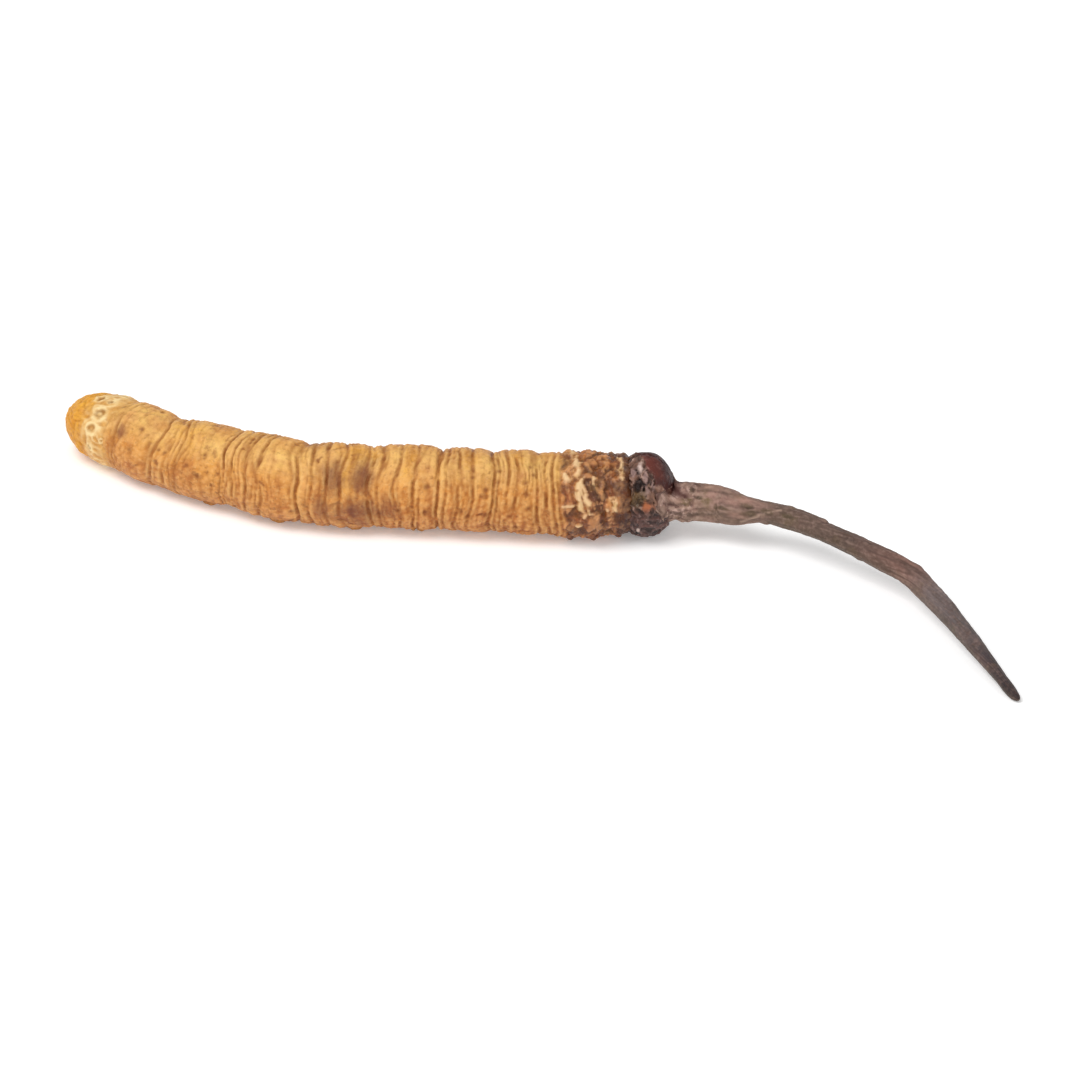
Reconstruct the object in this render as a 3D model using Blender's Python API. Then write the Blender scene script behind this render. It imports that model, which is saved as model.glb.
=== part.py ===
"""One dried cordyceps: a larva mummified by a fungus, its hard head and the fungus stalk.

It lies on its belly on the plane z = 0, with its head towards +X and its back up. The numbers are
in millimetres and become metres where a mesh is made. The origin is under the middle of the whole
object's box, on the surface it lies on. Angles round a section are 0 on its upper side and grow
towards -Y.
"""

import math

import bmesh
import bpy
import numpy as np

MM = 0.001
GAP = 0.3
ORIGIN = (-0.31, -5.32)
SHARP_ANGLE = math.radians(60)

# Each segment of the larva from the neck to the tail: length, mean radius, and the shares of
# its length that its folds take. The first fold of a segment is its plate.
SEGMENTS = (
    ("T1", 1.4, 2.55, (0.60, 0.40)),
    ("T2", 1.7, 2.76, (0.60, 0.40)),
    ("T3", 2.2, 2.70, (0.36, 0.16, 0.21, 0.27)),
    ("A1", 2.7, 2.63, (0.48, 0.20, 0.22, 0.10)),
    ("A2", 3.35, 2.64, (0.39, 0.25, 0.22, 0.14)),
    ("A3", 4.2, 2.67, (0.36, 0.24, 0.26, 0.14)),
    ("A4", 4.2, 2.67, (0.39, 0.22, 0.22, 0.17)),
    ("A5", 4.5, 2.62, (0.45, 0.20, 0.20, 0.15)),
    ("A6", 4.75, 2.48, (0.69, 0.13, 0.18)),
    ("A7", 3.6, 2.30, (0.78, 0.22)),
    ("A8", 2.0, 2.46, (0.60, 0.40)),
    ("A9", 0.95, 2.30, (1.0,)),
    ("A10", 1.3, 2.02, (1.0,)),
)
BODY_LENGTH = sum(segment[1] for segment in SEGMENTS)
TAIL_CAP = 1.9

# The body's midline from the neck to the tail, as it lies.
BODY_MIDLINE = (
    (5.0, -0.52, 2.60),
    (1.8, -0.45, 2.58),
    (-1.5, -0.2, 2.52),
    (-8.4, 0.5, 2.48),
    (-13.0, 0.85, 2.45),
    (-15.8, 1.4, 2.44),
    (-19.1, 3.05, 2.36),
    (-23.0, 5.1, 2.2),
    (-25.7, 7.3, 2.2),
    (-28.2, 9.4, 2.05),
    (-29.45, 10.4, 2.0),
)
BODY_SIDES = 28
PLATE_RINGS = (0.0, 0.22, 0.5, 0.78)
FOLD_RINGS = (0.0, 0.5)
NECK_TAPERS = (0.0, 0.55, 0.92)
TAIL_CAP_RINGS = 6
TAIL_BLUNTNESS = 0.8
BULGING_SEGMENTS = ("A1", "A2", "A3", "A4", "A5", "A6", "A7")
PLATE_CREST = 0.17
FOLD_CREST = 0.12
PLATE_POWER = 3.0
FOLD_POWER = 2.0
SEGMENT_BULGE = 0.10
BACK_BULGE = 0.14
FLANK_BULGE = 0.08
FLANK_ANGLE = math.radians(118)
FLANK_WIDTH = math.radians(24)
THORAX_LUMP = 0.15
THORAX_LUMPS_ROUND = 7
THORAX_LUMP_DRIFT = 0.4
THROAT_SWELL = 0.16
THROAT_REACH = 1.6
BELLY_FLATNESS = 0.03

# The folds don't run straight round the body: waves in the angle, each with its height in
# millimetres, its count round the body, its drift along the body and its phase.
FOLD_WAVES = ((0.12, 2, 0.35, 0.0), (0.08, 3, -0.6, 1.0), (0.05, 5, 0.9, 2.0))
WAVE_FADE = 1.5

# Feet, as distances out from the midline.
PROLEG_SEGMENTS = ("A3", "A4", "A5", "A6")
PROLEG_OUT = 0.92
PROLEG_SOLE = 0.46
PROLEG_ROOT = 0.85
PROLEG_LEAN = 0.25
PROLEG_HEIGHT = 1.0
PROLEG_SHARE = 0.30
PROLEG_SIDES = 12
ANAL_PROLEG_SHARE = 0.2
ANAL_PROLEG_OUT = 0.45
ANAL_PROLEG_SOLE = 0.32
ANAL_PROLEG_ROOT = 0.50
LEG_SEGMENTS = ("T1", "T2", "T3")
LEG_OUT = 1.62
LEG_FOOT_IN = 0.34
LEG_FOOT_AHEAD = 0.35
LEG_ROOT = 0.42
LEG_TIP = 0.15
LEG_HEIGHT = 1.1
LEG_FOOT_HEIGHT = 0.06
LEG_SIDES = 8

HEAD_CENTRE = (6.42, -0.50, 2.50)
HEAD_HALF = (1.72, 2.34, 2.44)
HEAD_SIDES = 26
HEAD_RINGS = 16
HEAD_SEAM = 0.16
HEAD_SEAM_WIDTH = math.radians(9)
CHEEK_VALLEY = 0.30
CHEEK_ANGLE = math.radians(104)
CHEEK_WIDTH = math.radians(15)
CROWN_SWELL = 0.10
JAW_REACH = 0.34
JAW_WIDTH = 0.25
JAW_PLACE = (0.62, 0.25, -0.74)

# The stalk's midline from inside the head to its tip, and its radius at distances along it.
STALK_MIDLINE = (
    (6.5, -0.75, 2.2),
    (8.26, -1.15, 2.45),
    (9.7, -1.3, 2.52),
    (11.0, -1.58, 2.52),
    (11.95, -2.1, 2.5),
    (13.75, -2.42, 2.42),
    (15.6, -3.26, 2.34),
    (17.4, -4.6, 2.24),
    (19.3, -6.1, 2.1),
    (21.1, -7.65, 1.94),
    (22.3, -8.75, 1.82),
    (23.1, -9.75, 1.72),
    (23.8, -11.0, 1.6),
    (24.9, -13.05, 1.43),
    (25.9, -15.15, 1.22),
    (26.85, -17.1, 0.96),
    (27.8, -18.95, 0.62),
    (28.7, -20.85, 0.35),
    (29.2, -21.8, 0.26),
)
STALK_RADIUS = (
    (0.0, 1.95),
    (0.8, 1.65),
    (1.8, 1.22),
    (3.0, 1.08),
    (4.4, 1.08),
    (5.4, 0.98),
    (6.5, 0.76),
    (7.2, 0.66),
    (8.8, 0.70),
    (10.4, 0.74),
    (11.6, 0.66),
    (14.5, 0.70),
    (17.2, 0.74),
    (19.6, 0.78),
    (21.0, 0.72),
    (23.0, 0.62),
    (25.5, 0.55),
    (28.0, 0.47),
    (31.0, 0.38),
)
STALK_SIDES = 14
STALK_RINGS = 50
STALK_TIP_RINGS = 8
STALK_TIP_CAP = 1.6
STALK_BLUNTNESS = 0.75

# The stalk's lengthwise ridges: share of the radius, count round it, turn along it and phase.
STALK_RIDGES = ((0.09, 2, 0.35, 0.0), (0.06, 5, -0.22, 1.0))
RIDGE_START = 3.0


def material(name, colour, roughness):
    """A plain finish for one piece."""
    made = bpy.data.materials.new(name)
    made.use_nodes = True
    shader = made.node_tree.nodes["Principled BSDF"]
    shader.inputs["Base Color"].default_value = (*colour, 1.0)
    shader.inputs["Roughness"].default_value = roughness
    shader.inputs["Metallic"].default_value = 0.0
    return made


def smooth_line(points, per_span=24):
    """Catmull-Rom points through the given ones, with the distance along the line at each."""
    points = np.array(points, float)
    ends = np.vstack([2 * points[0] - points[1], points, 2 * points[-1] - points[-2]])
    share = np.linspace(0.0, 1.0, per_span, endpoint=False)[:, None]
    spans = []
    for a, b, c, d in zip(ends, ends[1:], ends[2:], ends[3:]):
        spans.append(
            0.5
            * (
                2 * b
                + (c - a) * share
                + (2 * a - 5 * b + 4 * c - d) * share**2
                + (3 * b - a - 3 * c + d) * share**3
            )
        )
    line = np.vstack([*spans, points[-1:]])
    steps = np.linalg.norm(np.diff(line, axis=0), axis=1)
    return line, np.concatenate([[0.0], np.cumsum(steps)])


def frame_at(line, distance, at):
    """Places at these distances along a line, with the directions sideways (to -Y) and up there."""
    place = np.stack([np.interp(at, distance, line[:, axis]) for axis in range(3)], -1)
    step = 0.05
    ahead = np.stack([np.interp(at + step, distance, line[:, axis]) for axis in range(3)], -1)
    behind = np.stack([np.interp(at - step, distance, line[:, axis]) for axis in range(3)], -1)
    along = ahead - behind
    along /= np.linalg.norm(along, axis=-1, keepdims=True)
    side = np.cross(along, (0.0, 0.0, 1.0))
    side /= np.linalg.norm(side, axis=-1, keepdims=True)
    side *= np.where(side[..., 1:2] > 0, -1.0, 1.0)
    up = np.cross(side, along)
    up *= np.where(up[..., 2:3] < 0, -1.0, 1.0)
    return place, side, up


def folds():
    """Each fold of the skin as (start, end, crest height, power of its curve)."""
    found = []
    start = 0.0
    for _, length, _, shares in SEGMENTS:
        for number, share in enumerate(shares):
            end = start + share * length
            curve = (PLATE_CREST, PLATE_POWER) if number == 0 else (FOLD_CREST, FOLD_POWER)
            found.append((start, end, *curve))
            start = end
    return found


def along_body(name, share):
    """Distance from the neck to this share of a segment's length."""
    start = 0.0
    for segment, length, _, _ in SEGMENTS:
        if segment == name:
            return start + share * length
        start += length
    raise ValueError(name)


def mean_radius(at):
    """The body's radius without its folds."""
    places = [along_body(segment[0], 0.5) for segment in SEGMENTS]
    return np.interp(at, places, [segment[2] for segment in SEGMENTS])


def fold_waver(at, angle):
    """How far a fold has strayed along the body at this angle."""
    stray = np.zeros_like(at)
    for height, count, drift, phase in FOLD_WAVES:
        stray += height * np.sin(count * angle + drift * at + phase)
    ends = np.clip(at / WAVE_FADE, 0, 1) * np.clip((BODY_LENGTH - at) / WAVE_FADE, 0, 1)
    return stray * ends


def body_relief(at, angle):
    """How far the folds and bulges stand over the mean radius. The angle is 0 on the back."""
    height = np.zeros_like(at)
    thorax_end = along_body("A1", 0.0)
    for number, (start, end, crest, power) in enumerate(folds()):
        share = (at - start) / (end - start)
        inside = (share >= 0) & (share < 1)
        height += inside * crest * (1 - np.abs(2 * share - 1) ** power)
        if start < thorax_end:
            phase = math.pi * (number % 2) + THORAX_LUMP_DRIFT * number
            lumps = np.cos(THORAX_LUMPS_ROUND * angle + phase)
            height += inside * THORAX_LUMP * lumps * np.sin(math.pi * np.clip(share, 0, 1))
    throat = np.exp(-(((at - along_body("T2", 0.5)) / THROAT_REACH) ** 2))
    height += THROAT_SWELL * throat * np.clip(-np.cos(angle), 0, 1)
    back = np.clip(np.cos(angle), 0, 1) ** 1.5
    flank = np.exp(-(((np.abs(angle) - FLANK_ANGLE) / FLANK_WIDTH) ** 2))
    bulge = SEGMENT_BULGE + BACK_BULGE * back + FLANK_BULGE * flank
    for name, length, _, _ in SEGMENTS:
        share = (at - along_body(name, 0.0)) / length
        if name in BULGING_SEGMENTS:
            height += bulge * np.clip(1 - np.abs(2 * share - 1) ** PLATE_POWER, 0, 1)
    return height - PLATE_CREST - SEGMENT_BULGE


def body_rings():
    """Where the body's rings lie and how far each is drawn in. There is one in each groove."""
    rings = [(0.0, taper) for taper in NECK_TAPERS]
    cap_start = BODY_LENGTH - TAIL_CAP
    for start, end, _, power in folds():
        for share in PLATE_RINGS if power == PLATE_POWER else FOLD_RINGS:
            at = start + share * (end - start)
            if at < cap_start:
                rings.append((at, 1.0))
    for step in range(TAIL_CAP_RINGS + 1):
        turn = step / TAIL_CAP_RINGS * math.pi / 2
        taper = max(math.cos(turn), 0.0) ** TAIL_BLUNTNESS
        rings.append((cap_start + TAIL_CAP * math.sin(turn), taper))
    return rings


def ball_points(rings, sides):
    """A UV sphere with its vertices' ring numbers and angles, to be drawn out into another shape."""
    ball = bmesh.new()
    bmesh.ops.create_uvsphere(ball, u_segments=sides, v_segments=rings, radius=1.0)
    places = np.array([vertex.co for vertex in ball.verts])
    ring = np.rint(np.arccos(np.clip(places[:, 2], -1, 1)) / math.pi * rings).astype(int)
    angle = np.arctan2(places[:, 1], places[:, 0])
    return ball, ring, angle


def finish_mesh(name, shaped, places, finish, collection):
    """Moves the vertices to these places in millimetres and makes the mesh an object."""
    shift = np.array((*ORIGIN, 0.0))
    for vertex, place in zip(shaped.verts, (places - shift) * MM):
        vertex.co = place
    bmesh.ops.recalc_face_normals(shaped, faces=shaped.faces)
    if shaped.calc_volume(signed=True) < 0:
        bmesh.ops.reverse_faces(shaped, faces=shaped.faces)
    mesh = bpy.data.meshes.new(name)
    shaped.to_mesh(mesh)
    shaped.free()
    mesh.shade_smooth()
    mesh.set_sharp_from_angle(angle=SHARP_ANGLE)
    made = bpy.data.objects.new(name, mesh)
    if finish is not None:
        mesh.materials.append(finish)
    collection.objects.link(made)
    return made


def body_places(ring, angle):
    """Where the body's vertices lie."""
    rings = np.array(body_rings())
    at, taper = rings[ring, 0], rings[ring, 1]
    belly = np.clip(-np.cos(angle), 0, 1) ** 3
    radius = (mean_radius(at) + body_relief(at, angle)) * taper * (1 - BELLY_FLATNESS * belly)
    line, distance = smooth_line(BODY_MIDLINE)
    along = (at + fold_waver(at, angle)) * distance[-1] / BODY_LENGTH
    place, side, up = frame_at(line, distance, along)
    out = np.sin(angle)[:, None] * side + np.cos(angle)[:, None] * up
    places = place + radius[:, None] * out
    places[:, 2] = np.maximum(places[:, 2], 0.0)
    return places


def head_places(places, grown=0.0):
    """The head's vertices from a unit sphere's: a crown with a seam, a valley on each cheek, jaws."""
    x, y, z = places.T
    turn = np.arctan2(np.abs(y), z)
    waist = np.sqrt(np.clip(1 - x**2, 0, 1))
    seam = HEAD_SEAM * np.exp(-((turn / HEAD_SEAM_WIDTH) ** 2))
    valley = CHEEK_VALLEY * np.exp(-(((turn - CHEEK_ANGLE) / CHEEK_WIDTH) ** 2))
    crown = CROWN_SWELL * np.clip(np.cos(turn), 0, 1)
    jaw = np.stack([x, np.abs(y), z], -1) - JAW_PLACE
    jaws = JAW_REACH * np.exp(-np.sum(jaw**2, axis=-1) / JAW_WIDTH**2)
    relief = (crown - seam - valley) * waist + jaws
    size = np.array(HEAD_HALF) + grown
    return HEAD_CENTRE + places * (size + relief[:, None])


def make_head(name, grown, finish, collection):
    """The head, or a cutter of its shape that is larger all round."""
    ball, _, _ = ball_points(HEAD_RINGS, HEAD_SIDES)
    unit = np.array([vertex.co for vertex in ball.verts])
    turned = unit[:, [2, 0, 1]]
    return finish_mesh(name, ball, head_places(turned, grown), finish, collection)


def stalk_places(ring, angle):
    """Where the stalk's vertices lie: a section with ridges that slowly turn, and a drawn-in tip."""
    line, distance = smooth_line(STALK_MIDLINE)
    tip_start = distance[-1] - STALK_TIP_CAP
    straight_rings = STALK_RINGS - STALK_TIP_RINGS - 1
    share = np.clip((ring - 1) / straight_rings, 0, 1)
    turn = np.clip((ring - 1 - straight_rings) / STALK_TIP_RINGS, 0, 1) * math.pi / 2
    at = share * tip_start + STALK_TIP_CAP * np.sin(turn)
    taper = np.clip(np.cos(turn), 0, 1) ** STALK_BLUNTNESS
    taper[(ring == 0) | (ring == STALK_RINGS)] = 0.0
    radius = np.interp(at, *np.array(STALK_RADIUS).T) * taper
    ridges = np.ones_like(at)
    for height, count, twist, phase in STALK_RIDGES:
        fade = np.clip(at / RIDGE_START, 0, 1)
        ridges += height * fade * np.cos(count * angle + twist * at + phase)
    place, side, up = frame_at(line, distance, at)
    out = np.sin(angle)[:, None] * side + np.cos(angle)[:, None] * up
    places = place + (radius * ridges)[:, None] * out
    places[:, 2] = np.maximum(places[:, 2], 0.0)
    return places


def cone(shaped, low, high, low_radius, high_radius, sides):
    """Adds a closed leaning cone with level ends between two places, in millimetres."""
    made = bmesh.ops.create_cone(
        shaped,
        cap_ends=True,
        segments=sides,
        radius1=low_radius,
        radius2=high_radius,
        depth=1.0,
    )["verts"]
    for vertex in made:
        x, y, z = vertex.co
        vertex.co = low + (high - low) * (z + 0.5) + np.array((x, y, 0.0))


def make_feet(collection):
    """The prolegs with flat soles on the ground, the anal prolegs and the three pairs of legs."""
    line, distance = smooth_line(BODY_MIDLINE)
    scale = distance[-1] / BODY_LENGTH
    shaped = bmesh.new()
    for hand in (-1, 1):
        for name in PROLEG_SEGMENTS:
            at = along_body(name, PROLEG_SHARE) * scale
            place, side, _ = frame_at(line, distance, at)
            sole = place + hand * PROLEG_OUT * side
            root = sole - hand * PROLEG_LEAN * side
            sole[2] = 0.0
            root[2] = PROLEG_HEIGHT
            cone(shaped, sole, root, PROLEG_SOLE, PROLEG_ROOT, PROLEG_SIDES)
        at = along_body("A10", ANAL_PROLEG_SHARE) * scale
        place, side, _ = frame_at(line, distance, at)
        sole = place + hand * ANAL_PROLEG_OUT * side
        sole[2] = 0.0
        top = np.array((*sole[:2], PROLEG_HEIGHT))
        cone(shaped, sole, top, ANAL_PROLEG_SOLE, ANAL_PROLEG_ROOT, PROLEG_SIDES)
        for name in LEG_SEGMENTS:
            place, side, _ = frame_at(line, distance, along_body(name, 0.5) * scale)
            root = place + hand * LEG_OUT * side
            root[2] = LEG_HEIGHT
            foot = place + hand * (LEG_OUT - LEG_FOOT_IN) * side
            foot += (LEG_FOOT_AHEAD, 0.0, 0.0)
            foot[2] = LEG_FOOT_HEIGHT
            cone(shaped, foot, root, LEG_TIP, LEG_ROOT, LEG_SIDES)
    places = np.array([vertex.co for vertex in shaped.verts])
    return finish_mesh("feet_to_join", shaped, places, None, collection)


def boolean(target, other, operation):
    """Joins or cuts with a hidden helper."""
    modifier = target.modifiers.new(other.name, "BOOLEAN")
    modifier.operation = operation
    modifier.object = other


def main():
    for old in list(bpy.data.objects):
        bpy.data.objects.remove(old)
    parts = bpy.data.collections.new("dried_cordyceps")
    cutters = bpy.data.collections.new("cutters")
    for collection in (parts, cutters):
        bpy.context.scene.collection.children.link(collection)

    skin = material("dry_skin", (0.61, 0.30, 0.09), 0.6)
    shell = material("head_shell", (0.10, 0.025, 0.02), 0.25)
    fungus = material("stalk_bark", (0.17, 0.11, 0.09), 0.75)

    feet = make_feet(cutters)
    head_room = make_head("head_room", GAP, None, cutters)
    for helper in (feet, head_room):
        helper.hide_render = True
        helper.display_type = "WIRE"

    ring_count = len(body_rings()) - 1
    ball, ring, angle = ball_points(ring_count, BODY_SIDES)
    body = finish_mesh("larva_body", ball, body_places(ring, angle), skin, parts)
    boolean(body, feet, "UNION")
    boolean(body, head_room, "DIFFERENCE")

    make_head("head", 0.0, shell, parts)

    ball, ring, angle = ball_points(STALK_RINGS, STALK_SIDES)
    stalk = finish_mesh("stalk", ball, stalk_places(ring, angle), fungus, parts)
    boolean(stalk, head_room, "DIFFERENCE")


main()
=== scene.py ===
"""Looks of one dried cordyceps that lies on its belly on a pale studio floor.

The surfaces are made in millimetres, from the same midlines, lengths and radii as the solids, and
become metres where a mesh is made. A place on the larva or the stalk is given as the distance
along its midline and the angle round it in degrees, which is 0 on its upper side and grows
towards -Y, the camera's side. Masks and unrolled coordinates reach the materials as vertex
attributes.
"""

import itertools
import math

import bmesh
import bpy
import numpy as np
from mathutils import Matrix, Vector

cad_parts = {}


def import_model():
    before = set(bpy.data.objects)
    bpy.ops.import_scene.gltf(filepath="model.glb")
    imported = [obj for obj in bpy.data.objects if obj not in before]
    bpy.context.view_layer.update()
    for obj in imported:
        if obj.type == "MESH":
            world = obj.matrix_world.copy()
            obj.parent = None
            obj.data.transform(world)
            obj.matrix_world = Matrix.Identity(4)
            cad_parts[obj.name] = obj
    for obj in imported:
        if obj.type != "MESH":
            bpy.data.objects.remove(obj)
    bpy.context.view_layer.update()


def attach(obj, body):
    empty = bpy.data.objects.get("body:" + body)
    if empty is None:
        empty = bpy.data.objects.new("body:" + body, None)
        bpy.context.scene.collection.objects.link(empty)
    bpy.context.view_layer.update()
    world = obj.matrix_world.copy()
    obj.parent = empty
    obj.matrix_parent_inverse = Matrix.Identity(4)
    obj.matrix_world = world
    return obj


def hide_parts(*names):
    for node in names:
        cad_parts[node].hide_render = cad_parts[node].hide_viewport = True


MM = 0.001
ORIGIN = (-0.31, -5.32)
TINY = 1e-9
FAR_AWAY = 99.0
FRAME_STEP = 0.05
# Large odd numbers that stir the bits behind the noise.
HASH_FACTORS = (73856093, 19349663, 83492791)
HASH_SEED = 2654435761
HASH_MIX = 1274126177

# Each segment of the larva from the neck to the tail: length, mean radius, and the shares of
# its length that its folds take. The first fold of a segment is its plate.
SEGMENTS = (
    ("T1", 1.4, 2.55, (0.60, 0.40)),
    ("T2", 1.7, 2.76, (0.60, 0.40)),
    ("T3", 2.2, 2.70, (0.36, 0.16, 0.21, 0.27)),
    ("A1", 2.7, 2.63, (0.48, 0.20, 0.22, 0.10)),
    ("A2", 3.35, 2.64, (0.39, 0.25, 0.22, 0.14)),
    ("A3", 4.2, 2.67, (0.36, 0.24, 0.26, 0.14)),
    ("A4", 4.2, 2.67, (0.39, 0.22, 0.22, 0.17)),
    ("A5", 4.5, 2.62, (0.45, 0.20, 0.20, 0.15)),
    ("A6", 4.75, 2.48, (0.69, 0.13, 0.18)),
    ("A7", 3.6, 2.30, (0.78, 0.22)),
    ("A8", 2.0, 2.46, (0.60, 0.40)),
    ("A9", 0.95, 2.30, (1.0,)),
    ("A10", 1.3, 2.02, (1.0,)),
)
BODY_LENGTH = sum(segment[1] for segment in SEGMENTS)
TAIL_CAP = 1.9
TAIL_BLUNTNESS = 0.8
BULGING_SEGMENTS = ("A1", "A2", "A3", "A4", "A5", "A6", "A7")
BODY_MIDLINE = (
    (5.0, -0.52, 2.60),
    (1.8, -0.45, 2.58),
    (-1.5, -0.2, 2.52),
    (-8.4, 0.5, 2.48),
    (-13.0, 0.85, 2.45),
    (-15.8, 1.4, 2.44),
    (-19.1, 3.05, 2.36),
    (-23.0, 5.1, 2.2),
    (-25.7, 7.3, 2.2),
    (-28.2, 9.4, 2.05),
    (-29.45, 10.4, 2.0),
)
PLATE_CREST = 0.17
FOLD_CREST = 0.12
PLATE_POWER = 3.0
FOLD_POWER = 2.0
SEGMENT_BULGE = 0.10
BACK_BULGE = 0.14
FLANK_BULGE = 0.08
FLANK_ANGLE = 118
FLANK_REACH = 24
THROAT_SWELL = 0.16
THROAT_REACH = 1.6
BELLY_FLATTENING = 0.03
FOLD_WAVES = ((0.12, 2, 0.35, 0.0), (0.08, 3, -0.6, 1.0), (0.05, 5, 0.9, 2.0))
WAVE_FADE = 1.5
BODY_ROWS = 430
TAIL_ROWS = 32
BODY_COLUMNS = 210
BODY_FROM = 0.06
# The collar closes inside the head: distance from the neck, and share of the radius there.
COLLAR = ((-0.50, 0.0), (-0.48, 0.5), (-0.42, 0.74), (-0.32, 0.87), (-0.20, 0.94), (-0.06, 0.98))

PROLEG_SEGMENTS = ("A3", "A4", "A5", "A6")
PROLEG_SHARE = 0.30
PROLEG_OUT = 0.92
PROLEG_SIZE = 0.50
ANAL_PROLEG_OUT = 0.45
ANAL_PROLEG_SIZE = 0.36
DISC_HEIGHT = 0.18
DISC_EDGE = (0.70, 1.10)
DISC_PIT_DEPTH = 0.12
MOAT_DEPTH = 0.08

# Heights and depths of the skin's relief. It keeps a part of the solid's crests, and is lifted
# back to the same mean radius.
PLATE_KEPT = 0.42
FOLD_KEPT = 0.45
SKIN_LIFT = 0.05
PLATE_CREASE = 0.62
FOLD_CREASE = 0.44
CREASE_WIDTH = 0.080
CREASE_DEPTH = 0.088
CREASE_SHADE = 0.22
CREASE_SHADE_WIDTH = 0.24
LIP_AWAY = 0.17
LIP_WIDTH = 0.08
LIP_HEIGHT = 0.030
PLEAT_REACH = 0.60
LINE_DEPTH = 0.065
GRAIN_HEIGHT = 0.070
SPECKLE_DEPTH = 0.050
SWELL_HEIGHT = 0.045
CURL_DEPTH = 0.06
MARK_DEPTH = 0.06
STAIN_DEPTH = 0.03
PIT_DEPTH = 0.10
PIT_RIM_HEIGHT = 0.05
THORAX_GROWTH = 0.10
THORAX_BACK = 0.03
# Short wrinkles: the ranges of their distance from a crease, their half spans in degrees, their
# strengths and widths, and how far they slant and bend.
WRINKLES_PER_FOLD = 3
WRINKLE_ROOM = 0.6
WRINKLE_AWAY = (0.16, 0.62)
WRINKLE_HALF_SPAN = (12, 42)
WRINKLE_STRENGTH = (0.25, 0.75)
WRINKLE_WIDTH = (0.045, 0.075)
WRINKLE_SLANT = 0.10
WRINKLE_BEND = 0.05

# Where the zones of the skin fade in or out, as two distances from the neck.
GROWTH_ENDS = (3.5, 7.5)
THORAX_ENDS = (3.55, 4.05)
FAINT_CREASES_FROM = (24.0, 29.0)
WIDE_CREASES_FROM = (25.0, 29.0)
CALM_TAIL_STARTS = (27.5, 30.5)
LAST_PLATE = (30.8, 31.8)
PALE_STARTS = (31.9, 32.8)
PALE_ENDS = (34.0, 35.0)
KNOB_STARTS = (33.8, 34.9)

# The small legs: segment, share of its length, and how far out the leg starts.
LEGS = (("T1", 0.50, 1.10), ("T2", 0.50, 1.52), ("T3", 0.24, 1.50))
LEG_FOOT_IN = 0.18
LEG_FOOT_AHEAD = 0.35
LEG_KNEE_OUT = 0.16
LEG_ROOT_RADIUS = 0.42
LEG_TIP_RADIUS = 0.15
LEG_HEIGHT = 1.1
LEG_FOOT_HEIGHT = 0.14
LEG_JOINTS = (0.34, 0.62, 0.84)
LEG_JOINT_REACH = 0.045
LEG_ROWS = 60
LEG_COLUMNS = 32

HEAD_CENTRE = (6.42, -0.50, 2.62)
HEAD_HALF = (1.72, 2.34, 2.62)
HEAD_BACK_POWER = 3.0
HEAD_CROWN = 0.03
HEAD_ROWS = 300
HEAD_COLUMNS = 260
# The edges of the head's smooth dome on either side, as (share from back to front, angle).
DOME_EDGE_NEAR = (
    (-1.0, -20), (-0.6, -18), (-0.44, -15), (-0.2, 10), (0.0, 28), (0.31, 50), (0.7, 62), (1.0, 66)
)
DOME_EDGE_FAR = ((-1.0, -35), (-0.44, -50), (0.0, -78), (0.4, -92), (1.0, -95))
# Over how many degrees the dome and the lobes fade in, and the rim inside the dome's edge.
DOME_STARTS = (-5, 5)
LOBE_STARTS = (82, 98)
RIM_AWAY = 6
RIM_WIDTH = 7
RIM_HEIGHT = 0.05
SEAM_ANGLE = -4
SEAM_HALF_TURN = 2.2
SEAM_DEPTH = 0.04
RIDGE_HEIGHT = 0.14
SMALL_RIDGE_HEIGHT = 0.09
CHEEK_DEPTH = 0.12
LOBE_HEIGHT = 0.05
HEAD_COLLAR = -0.62
HEAD_COLLAR_WIDTH = 0.10
BLACK_DEPTH = 0.24
# Spots on the head: share from back to front, angle, half of the share and half of the angle.
# The first kind are small raised flakes painted near white, partly pale flakes and partly painted glints.
# The black one is a dent filled with painted shade.
HEAD_SPOTS = {
    "flake_glint": ((-0.29, 23, 0.12, 11), (-0.37, 124, 0.07, 5), (-0.72, 130, 0.10, 6)),
    "scale": ((-0.08, 40, 0.10, 9), (-0.14, 58, 0.16, 6), (-0.52, 34, 0.10, 8), (0.16, 52, 0.07, 6)),
    "olive": ((-0.36, 70, 0.34, 15),),
    "orange": ((-0.02, 81, 0.25, 7.5),),
    "black": ((-0.38, 51, 0.18, 7),),
}
SOFT_SPOTS = ("orange", "olive", "flake_glint")

STALK_MIDLINE = (
    (6.5, -0.75, 2.2),
    (8.26, -1.15, 2.45),
    (9.7, -1.3, 2.52),
    (11.0, -1.58, 2.52),
    (11.95, -2.1, 2.5),
    (13.75, -2.42, 2.42),
    (15.6, -3.26, 2.34),
    (17.4, -4.6, 2.24),
    (19.3, -6.1, 2.1),
    (21.1, -7.65, 1.94),
    (22.3, -8.75, 1.82),
    (23.1, -9.75, 1.72),
    (23.8, -11.0, 1.6),
    (24.9, -13.05, 1.43),
    (25.9, -15.15, 1.22),
    (26.85, -17.1, 0.96),
    (27.8, -18.95, 0.62),
    (28.7, -20.85, 0.35),
    (29.2, -21.8, 0.26),
)
# The stalk's radius at distances along its midline.
STALK_RADIUS = (
    (0.0, 1.95), (0.8, 1.65), (1.8, 1.22), (3.0, 1.08), (4.4, 1.08), (5.4, 0.98), (6.5, 0.76),
    (7.2, 0.66), (8.8, 0.70), (10.4, 0.74), (11.6, 0.66), (14.5, 0.70), (17.2, 0.72), (19.6, 0.70),
    (21.0, 0.66), (23.0, 0.62), (25.5, 0.55), (28.0, 0.47), (31.0, 0.38),
)
STALK_RIDGES = ((0.09, 2, 0.35, 0.0), (0.06, 5, -0.22, 1.0))
RIDGE_START = 3.0
STALK_TIP_CAP = 1.6
STALK_BLUNTNESS = 0.75
STALK_ROWS = 760
TIP_ROWS = 35
STALK_COLUMNS = 96

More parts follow.
